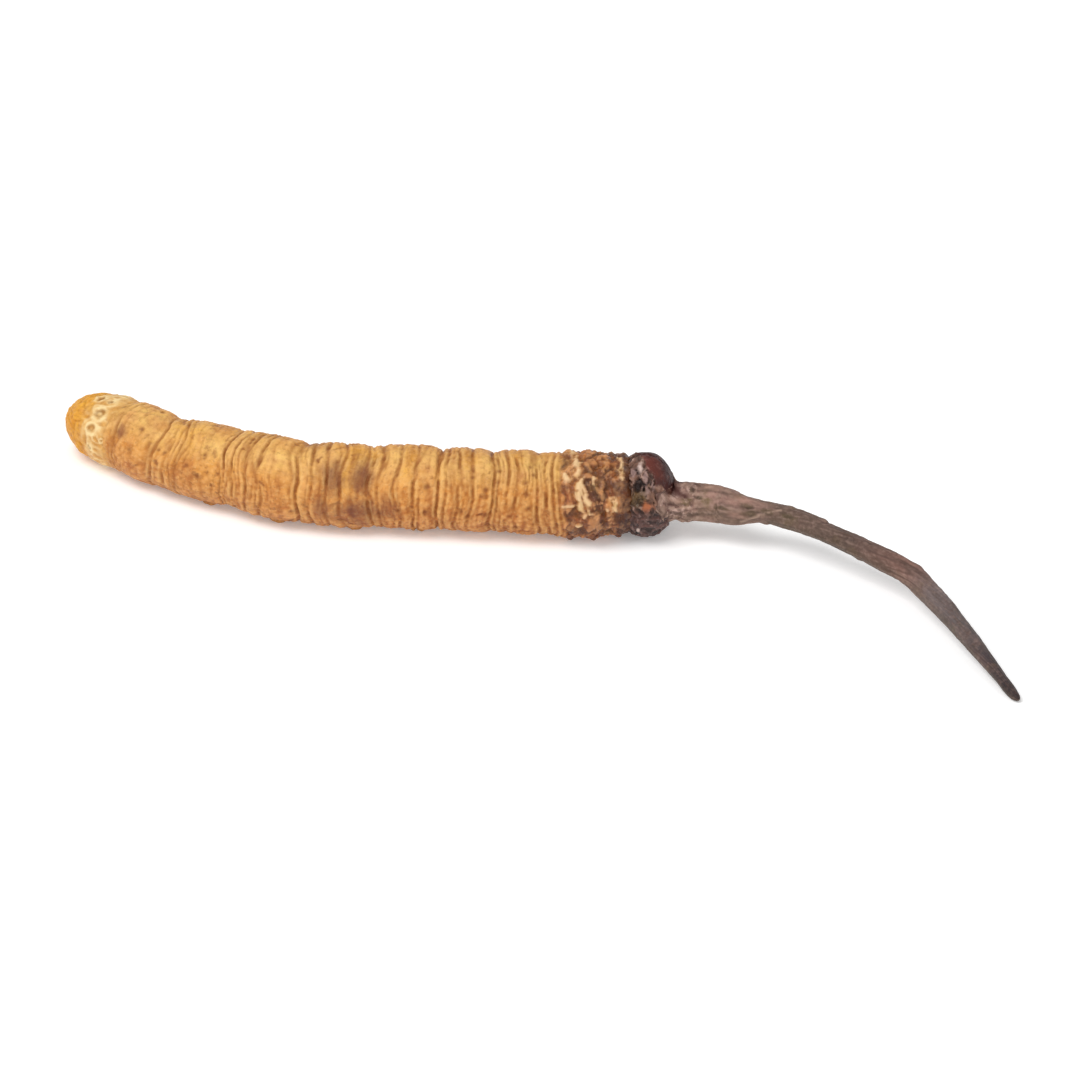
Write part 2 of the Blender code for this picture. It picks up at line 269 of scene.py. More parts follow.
# Heights and depths of the bark's relief, and where the rough bark at the root ends.
FURROW_DEPTH = 0.020
FIBRE_HEIGHT = 0.014
BARK_SWELL = 0.055
WART_HEIGHT = 0.035
ROOT_LUMP_HEIGHT = 0.13
PINCH_HEIGHT = 0.05
DARK_SPOT_DEPTH = 0.03
ROUGH_ROOT_ENDS = (1.9, 3.8)

# Where the fungus ends on the head, as (angle, share of the head from its middle to its front).
SKIRT_EDGE = (
    (-180, 0.55), (-150, 0.55), (-110, 0.42), (-80, 0.35), (-60, 0.50), (-40, 0.85), (-20, 0.92),
    (25, 0.92), (40, 0.88), (50, 0.74), (58, 0.46), (64, 0.27), (84, 0.24), (100, 0.36),
    (124, 0.55), (150, 0.60), (180, 0.55),
)
SKIRT_ROWS = 120
SKIRT_END = 0.95
SKIRT_FROM = 0.7
SKIRT_TO = 2.2
SKIRT_THICKNESS = 0.10
SKIRT_SUNK = 0.07
# The radius that turns a height over the head into a share of its size.
SKIRT_HEAD_RADIUS = 2.3
# The point inside the head where the skirt closes, and its rows from there to the skirt's edge.
SKIRT_ROOT = (7.0, -0.6, 2.4)
SKIRT_ROOT_ROWS = (0.0, 0.5, 0.85)
# Shoulders on one side of the stalk: distance, slant, angle of their middle, and height.
STALK_STEPS = (
    (7.5, 0.30, 150, 0.06), (8.9, 0.25, -30, 0.05), (11.3, 0.25, -30, 0.08), (14.6, 0.3, 170, 0.04)
)
STEP_HALF_TURN = 55
# Knobs and dents of the stalk: distance, angle, reach and height.
STALK_KNOBS = (
    (6.2, 120, 0.60, 0.07), (19.05, -50, 0.42, 0.10), (18.2, 150, 0.35, -0.09), (4.2, 40, 0.8, 0.05)
)
# The narrow ridge that crosses the camera's side where the stalk is pinched, and its half width.
PINCH_RIDGE = ((6.1, 115), (7.3, 78), (8.6, 30))
PINCH_RIDGE_WIDTH = 0.11
# Dark olive and pinkish spots near the stalk's root: distance, angle, half length, half width.
DARK_SPOTS = (
    (6.35, 45, 0.42, 0.26),
    (6.60, 78, 0.55, 0.20),
    (4.60, 72, 0.26, 0.22),
    (2.75, 20, 0.20, 0.24),
    (3.25, 44, 0.22, 0.16),
    (5.30, 70, 0.45, 0.12),
    (7.70, 60, 0.80, 0.28),
    (9.20, 52, 0.60, 0.22),
)
PINK_SPOTS = (
    (5.20, 38, 0.65, 0.34),
    (3.90, 30, 0.70, 0.30),
    (2.70, 84, 0.40, 0.34),
    (5.90, 88, 0.60, 0.26),
    (6.20, 10, 0.60, 0.30),
)
# How far from a spot's middle it starts to fade and has gone, over its half sizes.
BARK_SPOT_FADE = (0.3, 1.4)
STAIN_FADE = (0.20, 1.60)

# Brown lumps of the thorax on the camera's side: distance from the neck, angle, and tone, from -1
# for the darkest to 1 for the palest.
THORAX_PATCHES = (
    (3.85, 30, 0.6), (3.40, 57, 0.0), (3.40, 90, -0.1), (3.50, 120, 0.1), (2.35, -8, 0.3),
    (2.10, 22, 0.0), (1.90, 56, -0.6), (1.50, 84, -0.4), (2.50, 110, -0.1), (1.20, 4, 0.1),
    (0.35, 0, -0.3), (1.15, 33, -0.3), (0.60, 50, -0.3), (0.60, 76, 0.3), (0.20, 30, 0.1),
    (1.30, 104, -0.7), (1.35, 130, -0.6), (0.75, 112, 0.1), (0.75, 132, 0.1), (0.15, 110, -0.8),
    (0.15, 135, -0.9),
)
PATCH_REACH = 0.32
# Its large and small lumps: how many there are to a millimetre each way, their heights, and the
# widths and depths of the valleys between them.
LUMP_SCALE = (1.45, 0.62, 0.62)
LUMP_HEIGHT = 0.20
VALLEY_WIDTH = 0.13
VALLEY_DEPTH = 0.10
SMALL_LUMP_SCALE = (2.9, 1.7, 1.7)
SMALL_LUMP_HEIGHT = 0.13
SMALL_VALLEY_WIDTH = 0.12
SMALL_VALLEY_DEPTH = 0.06
# Pale ridges and patches of the thorax: half width, and the (distance, angle) points they follow.
CREAM_STROKES = (
    (0.22, ((3.25, -16), (3.15, -4), (2.68, 24), (2.45, 42), (2.62, 58), (2.80, 78), (2.66, 90))),
    (0.20, ((2.50, 44), (2.36, 60), (2.28, 72), (2.38, 86), (2.62, 91))),
    (0.26, ((3.40, 35), (3.27, 40))),
    (0.09, ((3.70, 77), (3.10, 76))),
    (0.11, ((1.70, 38), (1.70, 46))),
    (0.24, ((0.72, 69), (0.60, 80))),
    (0.10, ((1.27, 82), (1.20, 82))),
    (0.09, ((3.10, 107), (2.80, 107))),
    (0.11, ((0.32, -12), (0.24, 10), (0.18, 38))),
    (0.17, ((3.42, -24), (3.05, -48), (2.75, -80))),
    (0.20, ((0.72, -68), (0.60, -84))),
    (0.20, ((3.60, -58), (3.50, -64))),
)
# How far from a stroke's middle it starts to fade and has gone, over its half width.
CREAM_FADE = (0.30, 1.40)
CREAM_HEIGHT = 0.08
# The thin brown split in the pale ridge.
CREAM_SPLIT = ((2.58, 56), (2.54, 66), (2.56, 80))
CREAM_SPLIT_WIDTH = 0.06
CREAM_SPLIT_DEPTH = 0.05

# Pits before the tail's end: distance from the neck, angle, radius.
TAIL_PITS = (
    (34.20, 8, 0.22), (33.34, 11, 0.12), (33.36, 38, 0.28), (33.50, 64, 0.24),
    (33.65, 95, 0.14), (33.55, -22, 0.20), (34.10, -30, 0.14), (32.70, 78, 0.09),
)
FAR_PITS = 9
# Small dark marks on the camera's side: distance from the neck, angle, radius.
DARK_MARKS = (
    (12.05, 58, 0.20), (8.50, 58, 0.16), (6.90, 96, 0.15), (9.80, 92, 0.16), (11.95, 96, 0.20),
    (30.46, 72, 0.18), (30.22, 35, 0.16), (32.30, 9, 0.13), (28.70, 56, 0.12), (28.25, 58, 0.12),
    (25.65, 48, 0.16), (25.85, 82, 0.18), (5.75, 22, 0.16), (6.05, 46, 0.15), (5.90, 62, 0.20),
    (5.55, 34, 0.12), (5.70, 82, 0.14), (7.80, 28, 0.15), (8.35, 97, 0.15), (8.10, 120, 0.20),
    (9.30, 42, 0.12), (9.35, 100, 0.13), (11.20, 122, 0.16), (6.60, 118, 0.16),
)
FAR_MARK_ANGLES = (-18, -40, -60, -92, -112)
# Purple-brown stains: distance from the neck, angle, half length, half width, strength.
STAINS = (
    (17.70, 52, 0.80, 1.3, 0.74),
    (15.95, 48, 0.70, 1.3, 0.74),
    (16.30, 100, 1.40, 1.1, 0.82),
    (14.30, 90, 0.70, 0.9, 0.55),
    (18.30, 92, 0.50, 1.0, 0.60),
    (31.45, 51, 0.40, 0.45, 0.60),
    (19.0, -30, 0.8, 1.5, 0.5),
    (21.5, -120, 1.2, 1.8, 0.7),
)
# Golden patches: distance from the neck, angle, half length and half width.
GOLD_PATCHES = (
    (16.85, 30, 0.45, 2.6),
    (16.30, 4, 1.10, 1.0),
    (6.55, 6, 0.35, 0.9),
    (13.20, 14, 0.45, 1.3),
    (9.60, 10, 0.50, 0.8),
    (27.50, 20, 1.20, 1.0),
    (22.50, -60, 0.90, 1.6),
)

# Ramps of colour, as (place on the ramp, colour): along the larva, up its side, over the tones of
# its thorax, and along the stalk.
SKIN_BY_LENGTH = (
    (0.00, (150, 94, 48)),
    (0.10, (188, 120, 54)),
    (0.20, (200, 126, 54)),
    (0.40, (238, 158, 78)),
    (0.65, (238, 174, 90)),
    (0.84, (222, 156, 80)),
    (1.00, (228, 160, 60)),
)
# Up its side: darker and redder towards the belly and paler on top. This is partly the skin's own colour and
# partly painted shade below and painted light above.
SKIN_TONE_AND_LIGHT_BY_HEIGHT = (
    (0.00, (118, 64, 40)),
    (0.30, (146, 81, 44)),
    (0.56, (182, 104, 40)),
    (0.84, (226, 151, 62)),
    (1.00, (255, 218, 126)),
)
THORAX_TONES = (
    (0.00, (50, 25, 24)),
    (0.22, (88, 43, 30)),
    (0.45, (138, 73, 37)),
    (0.70, (188, 113, 54)),
    (1.00, (234, 168, 102)),
)
BARK_BY_LENGTH = (
    (0.00, (172, 134, 120)),
    (0.12, (158, 124, 106)),
    (0.24, (114, 91, 78)),
    (0.42, (92, 73, 65)),
    (0.56, (134, 98, 87)),
    (0.65, (118, 104, 102)),
    (0.76, (94, 88, 89)),
    (0.88, (64, 56, 60)),
    (0.98, (34, 29, 34)),
)

# Lights in metres and watts: name, place, size and power.
LIGHTS = (("key_light", (-0.20, -0.12, 0.44), 0.30, 1.50), ("fill_light", (0.35, -0.30, 0.25), 0.30, 0.4))
LIGHT_TARGET = (0.0, 0.0, 0.002)
ROOM_STRENGTH = 0.50
CAMERA_TARGET = (0.0, 0.0, 0.0021)
CAMERA_ELEVATION = 30
CAMERA_REACH = 2.2
CAMERA_FIELD = 0.067


def hashed(corner, seed):
    """Repeatable whole numbers for whole-number corners."""
    mixed = np.int64(seed * HASH_SEED)
    for axis, factor in enumerate(HASH_FACTORS):
        mixed = mixed ^ (corner[..., axis].astype(np.int64) * factor)
    mixed = (mixed ^ (mixed >> 13)) * HASH_MIX
    return mixed ^ (mixed >> 16)


def hashed_shares(mixed, shifts=(0, 10, 20)):
    """Numbers from 0 to 1 out of hashed numbers, one for each shift of their bits."""
    return np.stack([(mixed >> shift) & 1023 for shift in shifts], -1) / 1023.0


def noise(points, seed):
    """Smooth gradient noise, about -1 to 1."""
    base = np.floor(points)
    part = points - base
    fade = part**3 * (part * (part * 6 - 15) + 10)
    total = 0.0
    for step in itertools.product((0, 1), repeat=3):
        slope = 2 * hashed_shares(hashed(base + step, seed)) - 1
        value = np.sum(slope * (part - step), -1)
        for axis in range(3):
            value = value * (fade[..., axis] if step[axis] else 1 - fade[..., axis])
        total = total + value
    return total * 1.6


def rough_noise(points, octaves, seed):
    """Noise with finer and weaker copies of itself added."""
    return sum(noise(points * 2.03**octave, seed + 31 * octave) * 0.5**octave for octave in range(octaves))


def bent_places(places, reach, scale, seed):
    """Places moved about smoothly, which makes the noise read there wander."""
    return places + reach * np.stack([noise(places * scale, seed + axis) for axis in range(3)], -1)


def round_noise(angle, scale, offset, seed):
    """Noise that depends on the angle alone and meets itself after a full turn."""
    points = [scale * np.cos(angle), scale * np.sin(angle), np.full_like(angle, offset)]
    return noise(np.stack(points, -1), seed)


def cells(points, seed):
    """Distances to the nearest and the next of many points scattered one to each unit cube.

    The third field is a random number from 0 to 1 that belongs to the nearest point.
    """
    base = np.floor(points)
    nearest = np.full(points.shape[:-1], FAR_AWAY)
    second = nearest
    value = np.zeros_like(nearest)
    for step in itertools.product((-1, 0, 1), repeat=3):
        mixed = hashed(base + step, seed)
        away = np.linalg.norm(base + step + hashed_shares(mixed) - points, axis=-1)
        second = np.minimum(second, np.maximum(away, nearest))
        value = np.where(away < nearest, hashed_shares(mixed, (30,))[..., 0], value)
        nearest = np.minimum(nearest, away)
    return nearest, second, value


def clamped(value):
    """A value kept between 0 and 1."""
    return np.clip(value, 0, 1)


def step_up(value, low, high):
    """0 below low, 1 above high, and smooth between."""
    share = clamped((value - low) / (high - low))
    return share * share * (3 - 2 * share)


def hill(value):
    """1 at 0, falling smoothly towards 0 on both sides."""
    return np.exp(-(value**2))


def veins(points, seed, width):
    """Thin wandering lines, where noise passes through 0."""
    return hill(noise(points, seed) / width)


def wrapped(angle):
    """An angle brought between -pi and pi."""
    return (angle + np.pi) % (2 * np.pi) - np.pi


def beneath(angle, start, end):
    """0 up to the first angle from the upper side, in degrees, and 1 beyond the second."""
    return step_up(np.abs(wrapped(angle)), math.radians(start), math.radians(end))


def read_line(at, points):
    """The value at these places of a line through (place, value) points."""
    return np.interp(at, *np.array(points, float).T)


def spot_away(surface, centre, turn, half_length, half_width):
    """How far the points of a surface are from a spot on it, over the spot's half sizes.

    A surface is its points' distances along the midline, their angles and their radius.
    """
    at, angle, radius = surface
    around = radius * wrapped(angle - math.radians(turn))
    return np.hypot((at - centre) / half_length, around / half_width)


def stroke_distance(surface, points):
    """How far the points of a surface are from a line through (distance, angle) points on it."""
    at, angle, radius = surface
    best = np.full(at.shape, FAR_AWAY)
    for (start, start_turn), (end, end_turn) in zip(points, points[1:]):
        span = np.stack([np.full_like(at, end - start), radius * math.radians(end_turn - start_turn)])
        offset = np.stack([at - start, radius * wrapped(angle - math.radians(start_turn))])
        share = np.sum(offset * span, 0) / np.maximum(np.sum(span * span, 0), TINY)
        left = offset - span * clamped(share)
        best = np.minimum(best, np.sqrt(np.sum(left * left, 0)))
    return best


def unit(vectors):
    """Vectors brought to a length of 1."""
    return vectors / np.maximum(np.linalg.norm(vectors, axis=-1, keepdims=True), TINY)


def smooth_line(points, per_span=24):
    """Catmull-Rom points through the given ones, with the distance along the line at each."""
    points = np.array(points, float)
    ends = np.vstack([2 * points[0] - points[1], points, 2 * points[-1] - points[-2]])
    share = np.linspace(0.0, 1.0, per_span, endpoint=False)[:, None]
    spans = []
    for a, b, c, d in zip(ends, ends[1:], ends[2:], ends[3:]):
        curve = (2 * a - 5 * b + 4 * c - d) * share**2 + (3 * b - a - 3 * c + d) * share**3
        spans.append((2 * b + (c - a) * share + curve) / 2)
    line = np.vstack([*spans, points[-1:]])
    steps = np.linalg.norm(np.diff(line, axis=0), axis=1)
    return line, np.concatenate([[0.0], np.cumsum(steps)])


def frame_at(line, distance, at):
    """Places at these distances along a line, with the directions sideways (to -Y) and up there."""
    place, ahead, behind = (
        np.stack([np.interp(where, distance, line[:, axis]) for axis in range(3)], -1)
        for where in (at, at + FRAME_STEP, at - FRAME_STEP)
    )
    along = unit(ahead - behind)
    side = unit(np.cross(along, (0.0, 0.0, 1.0)))
    side *= np.where(side[..., 1:2] > 0, -1.0, 1.0)
    up = np.cross(side, along)
    up *= np.where(up[..., 2:3] < 0, -1.0, 1.0)
    return place, side, up


def outwards(angle, side, up):
    """Directions away from a midline at these angles round it."""
    return np.sin(angle)[..., None] * side + np.cos(angle)[..., None] * up


def round_grid(rows, columns):
    """Grids of what each row stands for and of the angle of each column, from -pi on."""
    turns = np.arange(columns) / columns * 2 * np.pi - np.pi
    return np.meshgrid(rows, turns, indexing="ij")


def cap_rows(start, length, bluntness, count):
    """Rows of a round end that is drawn to a point, as (distance, share of the radius)."""
    turns = np.linspace(0, np.pi / 2, count + 1)[1:]
    shares = clamped(np.cos(turns)) ** bluntness
    shares[-1] = 0.0
    return list(zip(start + length * np.sin(turns), shares))


def grid_normals(places, out):
    """Unit normals of a grid of places that closes round its columns, on the side of out."""
    across = (np.roll(places, -1, axis=1) - np.roll(places, 1, axis=1)) / 2
    normal = unit(np.cross(np.gradient(places, axis=0), across))
    return normal * np.sign(np.sum(normal * out))


def blurred(field, rows, columns):
    """A grid field averaged over this many rows and columns, twice. It closes round its columns."""
    for _ in range(2):
        padded = np.pad(field, ((rows, rows), (0, 0)), mode="edge")
        sums = np.cumsum(np.vstack([np.zeros((1, field.shape[1])), padded]), axis=0)
        field = (sums[2 * rows + 1 :] - sums[: -2 * rows - 1]) / (2 * rows + 1)
        padded = np.concatenate([field[:, -columns:], field, field[:, :columns]], axis=1)
        sums = np.cumsum(np.hstack([np.zeros((field.shape[0], 1)), padded]), axis=1)
        field = (sums[:, 2 * columns + 1 :] - sums[:, : -2 * columns - 1]) / (2 * columns + 1)
    return field


def on_floor(places, softness=0.05):
    """Places pressed up gently where they would reach below the floor."""
    pressed = places.copy()
    height = places[..., 2]
    soft = 0.5 * (height + np.sqrt(height**2 + softness**2))
    pressed[..., 2] = np.where(height > 4 * softness, height, soft)
    return pressed


def grid_mesh(name, places, attributes, material):
    """A closed mesh from a grid of places in millimetres whose end rows are drawn to points.

    Several grids of one size, stacked in front of the rows, make as many closed shells.
    """
    rows, columns = places.shape[-3:-1]
    grids = places.size // (3 * rows * columns)
    shifted = (places - np.array((*ORIGIN, 0.0))) * MM
    grid, row, column = np.meshgrid(*map(np.arange, (grids, rows - 1, columns)), indexing="ij")
    after = (column + 1) % columns
    first = (grid * rows + row) * columns
    corners = [first + column, first + after, first + columns + after, first + columns + column]
    faces = np.stack(corners, -1).reshape(-1, 4)
    mesh = bpy.data.meshes.new(name)
    mesh.from_pydata(shifted.reshape(-1, 3).tolist(), [], faces.tolist())
    for key, values in attributes.items():
        values = np.asarray(values, np.float32)
        kind, slot = ("FLOAT_VECTOR", "vector") if values.ndim == places.ndim else ("FLOAT", "value")
        mesh.attributes.new(key, kind, "POINT").data.foreach_set(slot, values.ravel())
    close_ends(mesh)
    mesh.materials.append(material)
    mesh.shade_smooth()
    made = bpy.data.objects.new(name, mesh)
    bpy.context.scene.collection.objects.link(made)
    return made


def close_ends(mesh):
    """Welds the points that the end rows are drawn to, and turns the faces outwards."""
    shaped = bmesh.new()
    shaped.from_mesh(mesh)
    bmesh.ops.remove_doubles(shaped, verts=shaped.verts, dist=1e-8)
    bmesh.ops.dissolve_degenerate(shaped, edges=shaped.edges, dist=1e-9)
    if shaped.calc_volume(signed=True) < 0:
        bmesh.ops.reverse_faces(shaped, faces=shaped.faces)
    shaped.to_mesh(mesh)
    shaped.free()


def folds():
    """Each fold of the skin as (start, end, crest height, power of its curve)."""
    found = []
    start = 0.0
    for _, length, _, shares in SEGMENTS:
        for number, share in enumerate(shares):
            end = start + share * length
            curve = (PLATE_CREST, PLATE_POWER) if number == 0 else (FOLD_CREST, FOLD_POWER)
            found.append((start, end, *curve))
            start = end
    return found


def along_body(name, share):
    """Distance from the neck to this share of a segment's length."""
    names = [segment[0] for segment in SEGMENTS]
    number = names.index(name)
    return sum(segment[1] for segment in SEGMENTS[:number]) + share * SEGMENTS[number][1]


def mean_radius(at):
    """The body's radius without its folds."""
    return read_line(at, [(along_body(segment[0], 0.5), segment[2]) for segment in SEGMENTS])


def fold_waver(at, angle):
    """How far a fold has strayed along the body at this angle."""
    stray = np.zeros_like(at)
    for height, count, drift, phase in FOLD_WAVES:
        stray += height * np.sin(count * angle + drift * at + phase)
    return stray * clamped(at / WAVE_FADE) * clamped((BODY_LENGTH - at) / WAVE_FADE)


def large_relief(at, angle):
    """The bulge of each segment and of the throat, over the mean radius."""
    back = clamped(np.cos(angle))
    belly = clamped(-np.cos(angle))
    height = THROAT_SWELL * belly * hill((at - along_body("T2", 0.5)) / THROAT_REACH)
    flank = hill((np.abs(angle) - math.radians(FLANK_ANGLE)) / math.radians(FLANK_REACH))
    bulge = SEGMENT_BULGE + BACK_BULGE * back**1.5 + FLANK_BULGE * flank
    for name, length, _, _ in SEGMENTS:
        share = (at - along_body(name, 0.0)) / length
        if name in BULGING_SEGMENTS:
            height += bulge * clamped(1 - np.abs(2 * share - 1) ** PLATE_POWER)
    return height - PLATE_CREST - SEGMENT_BULGE


def fold_relief(at, angle):
    """The folds' crests, and fields for the creases, the lips beside them and their surroundings."""
    found = folds()
    starts = np.array([fold[0] for fold in found] + [BODY_LENGTH + 0.01])
    turn = angle[0]
    crease_at = np.repeat(starts[:, None], len(turn), axis=1)
    for number in range(1, len(found)):
        room = min(starts[number] - starts[number - 1], starts[number + 1] - starts[number])
        own = 0.20 * room * round_noise(turn, 1.4, number * 5.3, 3)
        kinks = 0.05 * room * round_noise(turn, 5.5, number * 2.7, 4)
        shared = 0.10 * round_noise(turn, 1.1, starts[number] * 0.35, 5)
        crease_at[number] += own + kinks + shared
    moved = np.empty_like(at)
    for column in range(at.shape[1]):
        moved[:, column] = np.interp(at[:, column], crease_at[:, column], starts)

    height, crease, lip, near = (np.zeros_like(at) for _ in range(4))
    random = np.random.default_rng(2)
    for number, (start, end, crest, power) in enumerate(found):
        share = (moved - start) / (end - start)
        inside = (share >= 0) & (share < 1)
        is_plate = power == PLATE_POWER
        tall = crest * ((PLATE_KEPT if is_plate else FOLD_KEPT) + random.uniform(-0.15, 0.15))
        height += inside * tall * (1 - np.abs(2 * share - 1) ** power)
        if number == 0:
            continue
        strength = PLATE_CREASE if is_plate else FOLD_CREASE
        strength = strength + 0.95 * round_noise(turn, 2.4, number * 9.1, 6)
        strength = np.clip(strength + 0.60 * round_noise(turn, 7.5, number * 3.3, 7), 0.0, 1.1)
        width = CREASE_WIDTH * (1 + 0.45 * round_noise(turn, 3.5, number * 4.1, 8))
        width = width * (1 + 0.5 * step_up(starts[number], *WIDE_CREASES_FROM))
        away = at - crease_at[number]
        line = hill(away / width) + CREASE_SHADE * hill(away / CREASE_SHADE_WIDTH)
        crease = np.maximum(crease, strength * line)
        lip = np.maximum(lip, strength * hill((np.abs(away) - LIP_AWAY) / LIP_WIDTH))
        near = np.maximum(near, hill(away / PLEAT_REACH))
    crease = np.maximum(crease, short_wrinkles(at, angle, starts[1:-1]))
    return height, crease, lip, near


def short_wrinkles(at, angle, creases):
    """Short fine creases beside the long ones, each over a part of the way round."""
    random = np.random.default_rng(17)
    field = np.zeros_like(at)
    places = at[:, 0]
    for crease in creases:
        for _ in range(WRINKLES_PER_FOLD):
            centre = crease + random.choice((-1, 1)) * random.uniform(*WRINKLE_AWAY)
            turn = random.uniform(-np.pi, np.pi)
            half_span = math.radians(random.uniform(*WRINKLE_HALF_SPAN))
            slant = random.normal(0, WRINKLE_SLANT)
            strength = random.uniform(*WRINKLE_STRENGTH)
            first, last = np.searchsorted(places, (centre - WRINKLE_ROOM, centre + WRINKLE_ROOM))
            around = wrapped(angle[first:last] - turn)
            bend = WRINKLE_BEND * np.sin(around * random.uniform(3, 7) + random.uniform(0, 6))
            away = at[first:last] - centre - slant * around - bend
            window = np.exp(-((around / half_span) ** 4))
            line = strength * window * hill(away / random.uniform(*WRINKLE_WIDTH))
            field[first:last] = np.maximum(field[first:last], line)
    return field


def thorax_patches():
    """The patches on the camera's side, with others like them on the far side and the belly."""
    random = np.random.default_rng(7)
    patches = list(THORAX_PATCHES)
    for at, turn, tone in THORAX_PATCHES:
        if turn > 20:
            shift = random.normal(0, 0.12)
            patches.append((at + shift, -turn + random.normal(0, 4), tone + random.normal(0, 0.2)))
    for at in (0.8, 2.0, 3.4):
        for turn in (150, 178, 206):
            patches.append((at + random.normal(0, 0.15), turn, random.uniform(-0.6, 0.4)))
    return patches


def patch_tone(surface, patches):
    """The tone of the patches round each point, blended by how near they are."""
    total = np.full(surface[0].shape, TINY)
    tone = np.zeros(surface[0].shape)
    for centre, turn, value in patches:
        weight = hill(spot_away(surface, centre, turn, PATCH_REACH, PATCH_REACH))
        total += weight
        tone += weight * value
    return tone / total


def thorax_relief(surface, flat):
    """The thorax's crumpled brown lumps with sharp valleys, its cream ridge and cream patches."""
    at, angle, radius = surface
    bent = bent_places(flat, 0.38, 1.3, 81)
    small_bent = bent_places(flat, 0.25, 2.0, 86)
    near, second, value = cells(bent * LUMP_SCALE, 21)
    small_near, small_second, small_value = cells(small_bent * SMALL_LUMP_SCALE, 22)
    gap = hill((second - near) / VALLEY_WIDTH) * step_up(noise(flat * 1.1, 92), -0.5, 0.3)
    small_gap = hill((small_second - small_near) / SMALL_VALLEY_WIDTH)
    small_gap = small_gap * step_up(noise(flat * 1.4, 93), -0.2, 0.5)
    crumple = LUMP_HEIGHT * (0.55 - near) + SMALL_LUMP_HEIGHT * (0.5 - small_near)
    crumple -= VALLEY_DEPTH * gap + SMALL_VALLEY_DEPTH * small_gap
    crumple += 0.065 * rough_noise(bent * (3.2, 2.4, 2.4), 3, 23)
    crumple += 0.09 * noise(flat * (1.1, 0.8, 0.8), 26) + 0.03
    valley = gap + 0.45 * small_gap

    shift = 0.16 * rough_noise(flat * 1.5, 3, 24)
    ragged = 0.62 * rough_noise(flat * 2.3, 4, 27)
    moved = (at + shift, angle, radius)
    cream = np.zeros_like(at)
    for half_width, points in CREAM_STROKES:
        away = stroke_distance(moved, points) / half_width + ragged
        cream = np.maximum(cream, 1 - step_up(away, *CREAM_FADE))
    split = hill(stroke_distance(moved, CREAM_SPLIT) / CREAM_SPLIT_WIDTH)
    cream = cream * (1 - 0.5 * split) * (1 - 0.22 * valley)
    relief = crumple * (1 - 0.10 * cream) + CREAM_HEIGHT * cream - CREAM_SPLIT_DEPTH * split
    tone = 1.25 * patch_tone((at + 2 * shift, angle, radius), thorax_patches())
    tone += 1.10 * (0.65 * value + 0.35 * small_value - 0.5)
    # The valley mask is painted dark in the material, as painted shade between the lumps.
    return relief, {"cream": cream, "tone": tone, "valley": clamped(valley) * (1 - cream)}


def tail_relief(surface, flat):
    """The pale zone before the tail's end with its ringed pits."""
    at = surface[0]
    random = np.random.default_rng(11)
    pits = list(TAIL_PITS)
    for number in range(FAR_PITS):
        turn = 126 + 24 * number + random.normal(0, 3)
        pits.append((33.5 + random.normal(0, 0.25), turn + random.normal(0, 6), random.uniform(0.12, 0.28)))
        pits.append((34.1 + random.normal(0, 0.20), turn + random.normal(11, 6), random.uniform(0.08, 0.18)))
    relief, ring, rim = (np.zeros_like(at) for _ in range(3))
    drift = 0.09 * rough_noise(flat * 2.2, 3, 29)
    for centre, turn, size in pits:
        away = (spot_away(surface, centre, turn, 1.0, 1.25) + drift) / size
        depth = np.clip(0.7 + 0.6 * noise(flat * 1.7 + size * 9, 33), 0.2, 1)
        relief = np.minimum(relief, -PIT_DEPTH * depth * np.exp(-(away**4)))
        relief += 0.02 * hill(away / 0.45)
        ring = np.maximum(ring, depth * hill((away - 0.62) / 0.40))
        rim = np.maximum(rim, hill((away - 1.45) / 0.50))
    ring = clamped(ring * (1 + 0.5 * rough_noise(flat * 3.0, 2, 34)))
    net = veins(bent_places(flat, 0.3, 1.3, 90) * 1.7, 37, 0.24) * hill((at - 33.5) / 0.75)
    rim = clamped(np.maximum(rim, net) * (0.85 + 0.7 * rough_noise(flat * 2.0, 3, 35)))
    return relief + PIT_RIM_HEIGHT * rim * (1 - ring), ring, rim


def skin_marks(surface, flat):
    """Dark marks on the plates: the ones the camera sees, and rows of them on the other sides."""
    random = np.random.default_rng(5)
    marks = list(DARK_MARKS)
    for name in BULGING_SEGMENTS:
        for turn in FAR_MARK_ANGLES:
            place = along_body(name, 0.30 + 0.06 * random.normal())
            marks.append((place, turn + random.normal(0, 3), random.uniform(0.10, 0.16)))
    ragged = 0.40 * rough_noise(flat * 2.2, 3, 42)
    dark = 0.0
    for centre, turn, size in marks:
        away = spot_away(surface, centre, turn, size, size) + ragged
        dark = np.maximum(dark, hill(np.clip(away, 0, None)))
    return dark


def ragged_spots(surface, spots, ragged, edge):
    """The strongest of several spots at each point, fading over the edge, with ragged outlines."""
    field = np.zeros_like(surface[0])
    for centre, turn, half_length, half_width, *strength in spots:
        away = spot_away(surface, centre, turn, half_length, half_width) + ragged
        field = np.maximum(field, (strength or (1.0,))[0] * (1 - step_up(away, *edge)))
    return field


def proleg_relief(surface):
    """The flat discs of the prolegs, with a brown ring and a pit in each, and a moat round them."""
    height = np.zeros_like(surface[0])
    ring = np.zeros_like(height)
    spots = [(along_body(name, PROLEG_SHARE), PROLEG_OUT, PROLEG_SIZE) for name in PROLEG_SEGMENTS]
    spots.append((along_body("A10", 0.2), ANAL_PROLEG_OUT, ANAL_PROLEG_SIZE))
    for centre, out, size in spots:
        for hand in (-1, 1):
            turn = 180 - hand * math.degrees(math.asin(out / float(mean_radius(centre))))
            away = spot_away(surface, centre, turn, size, size)
            height += DISC_HEIGHT * (1 - step_up(away, *DISC_EDGE))
            height -= DISC_PIT_DEPTH * hill(away / 0.32) + MOAT_DEPTH * hill((away - 1.18) / 0.14)
            ring = np.maximum(ring, hill((away - 0.62) / 0.16))
            ring = np.maximum(ring, 0.7 * hill(away / 0.25))
    return height, ring


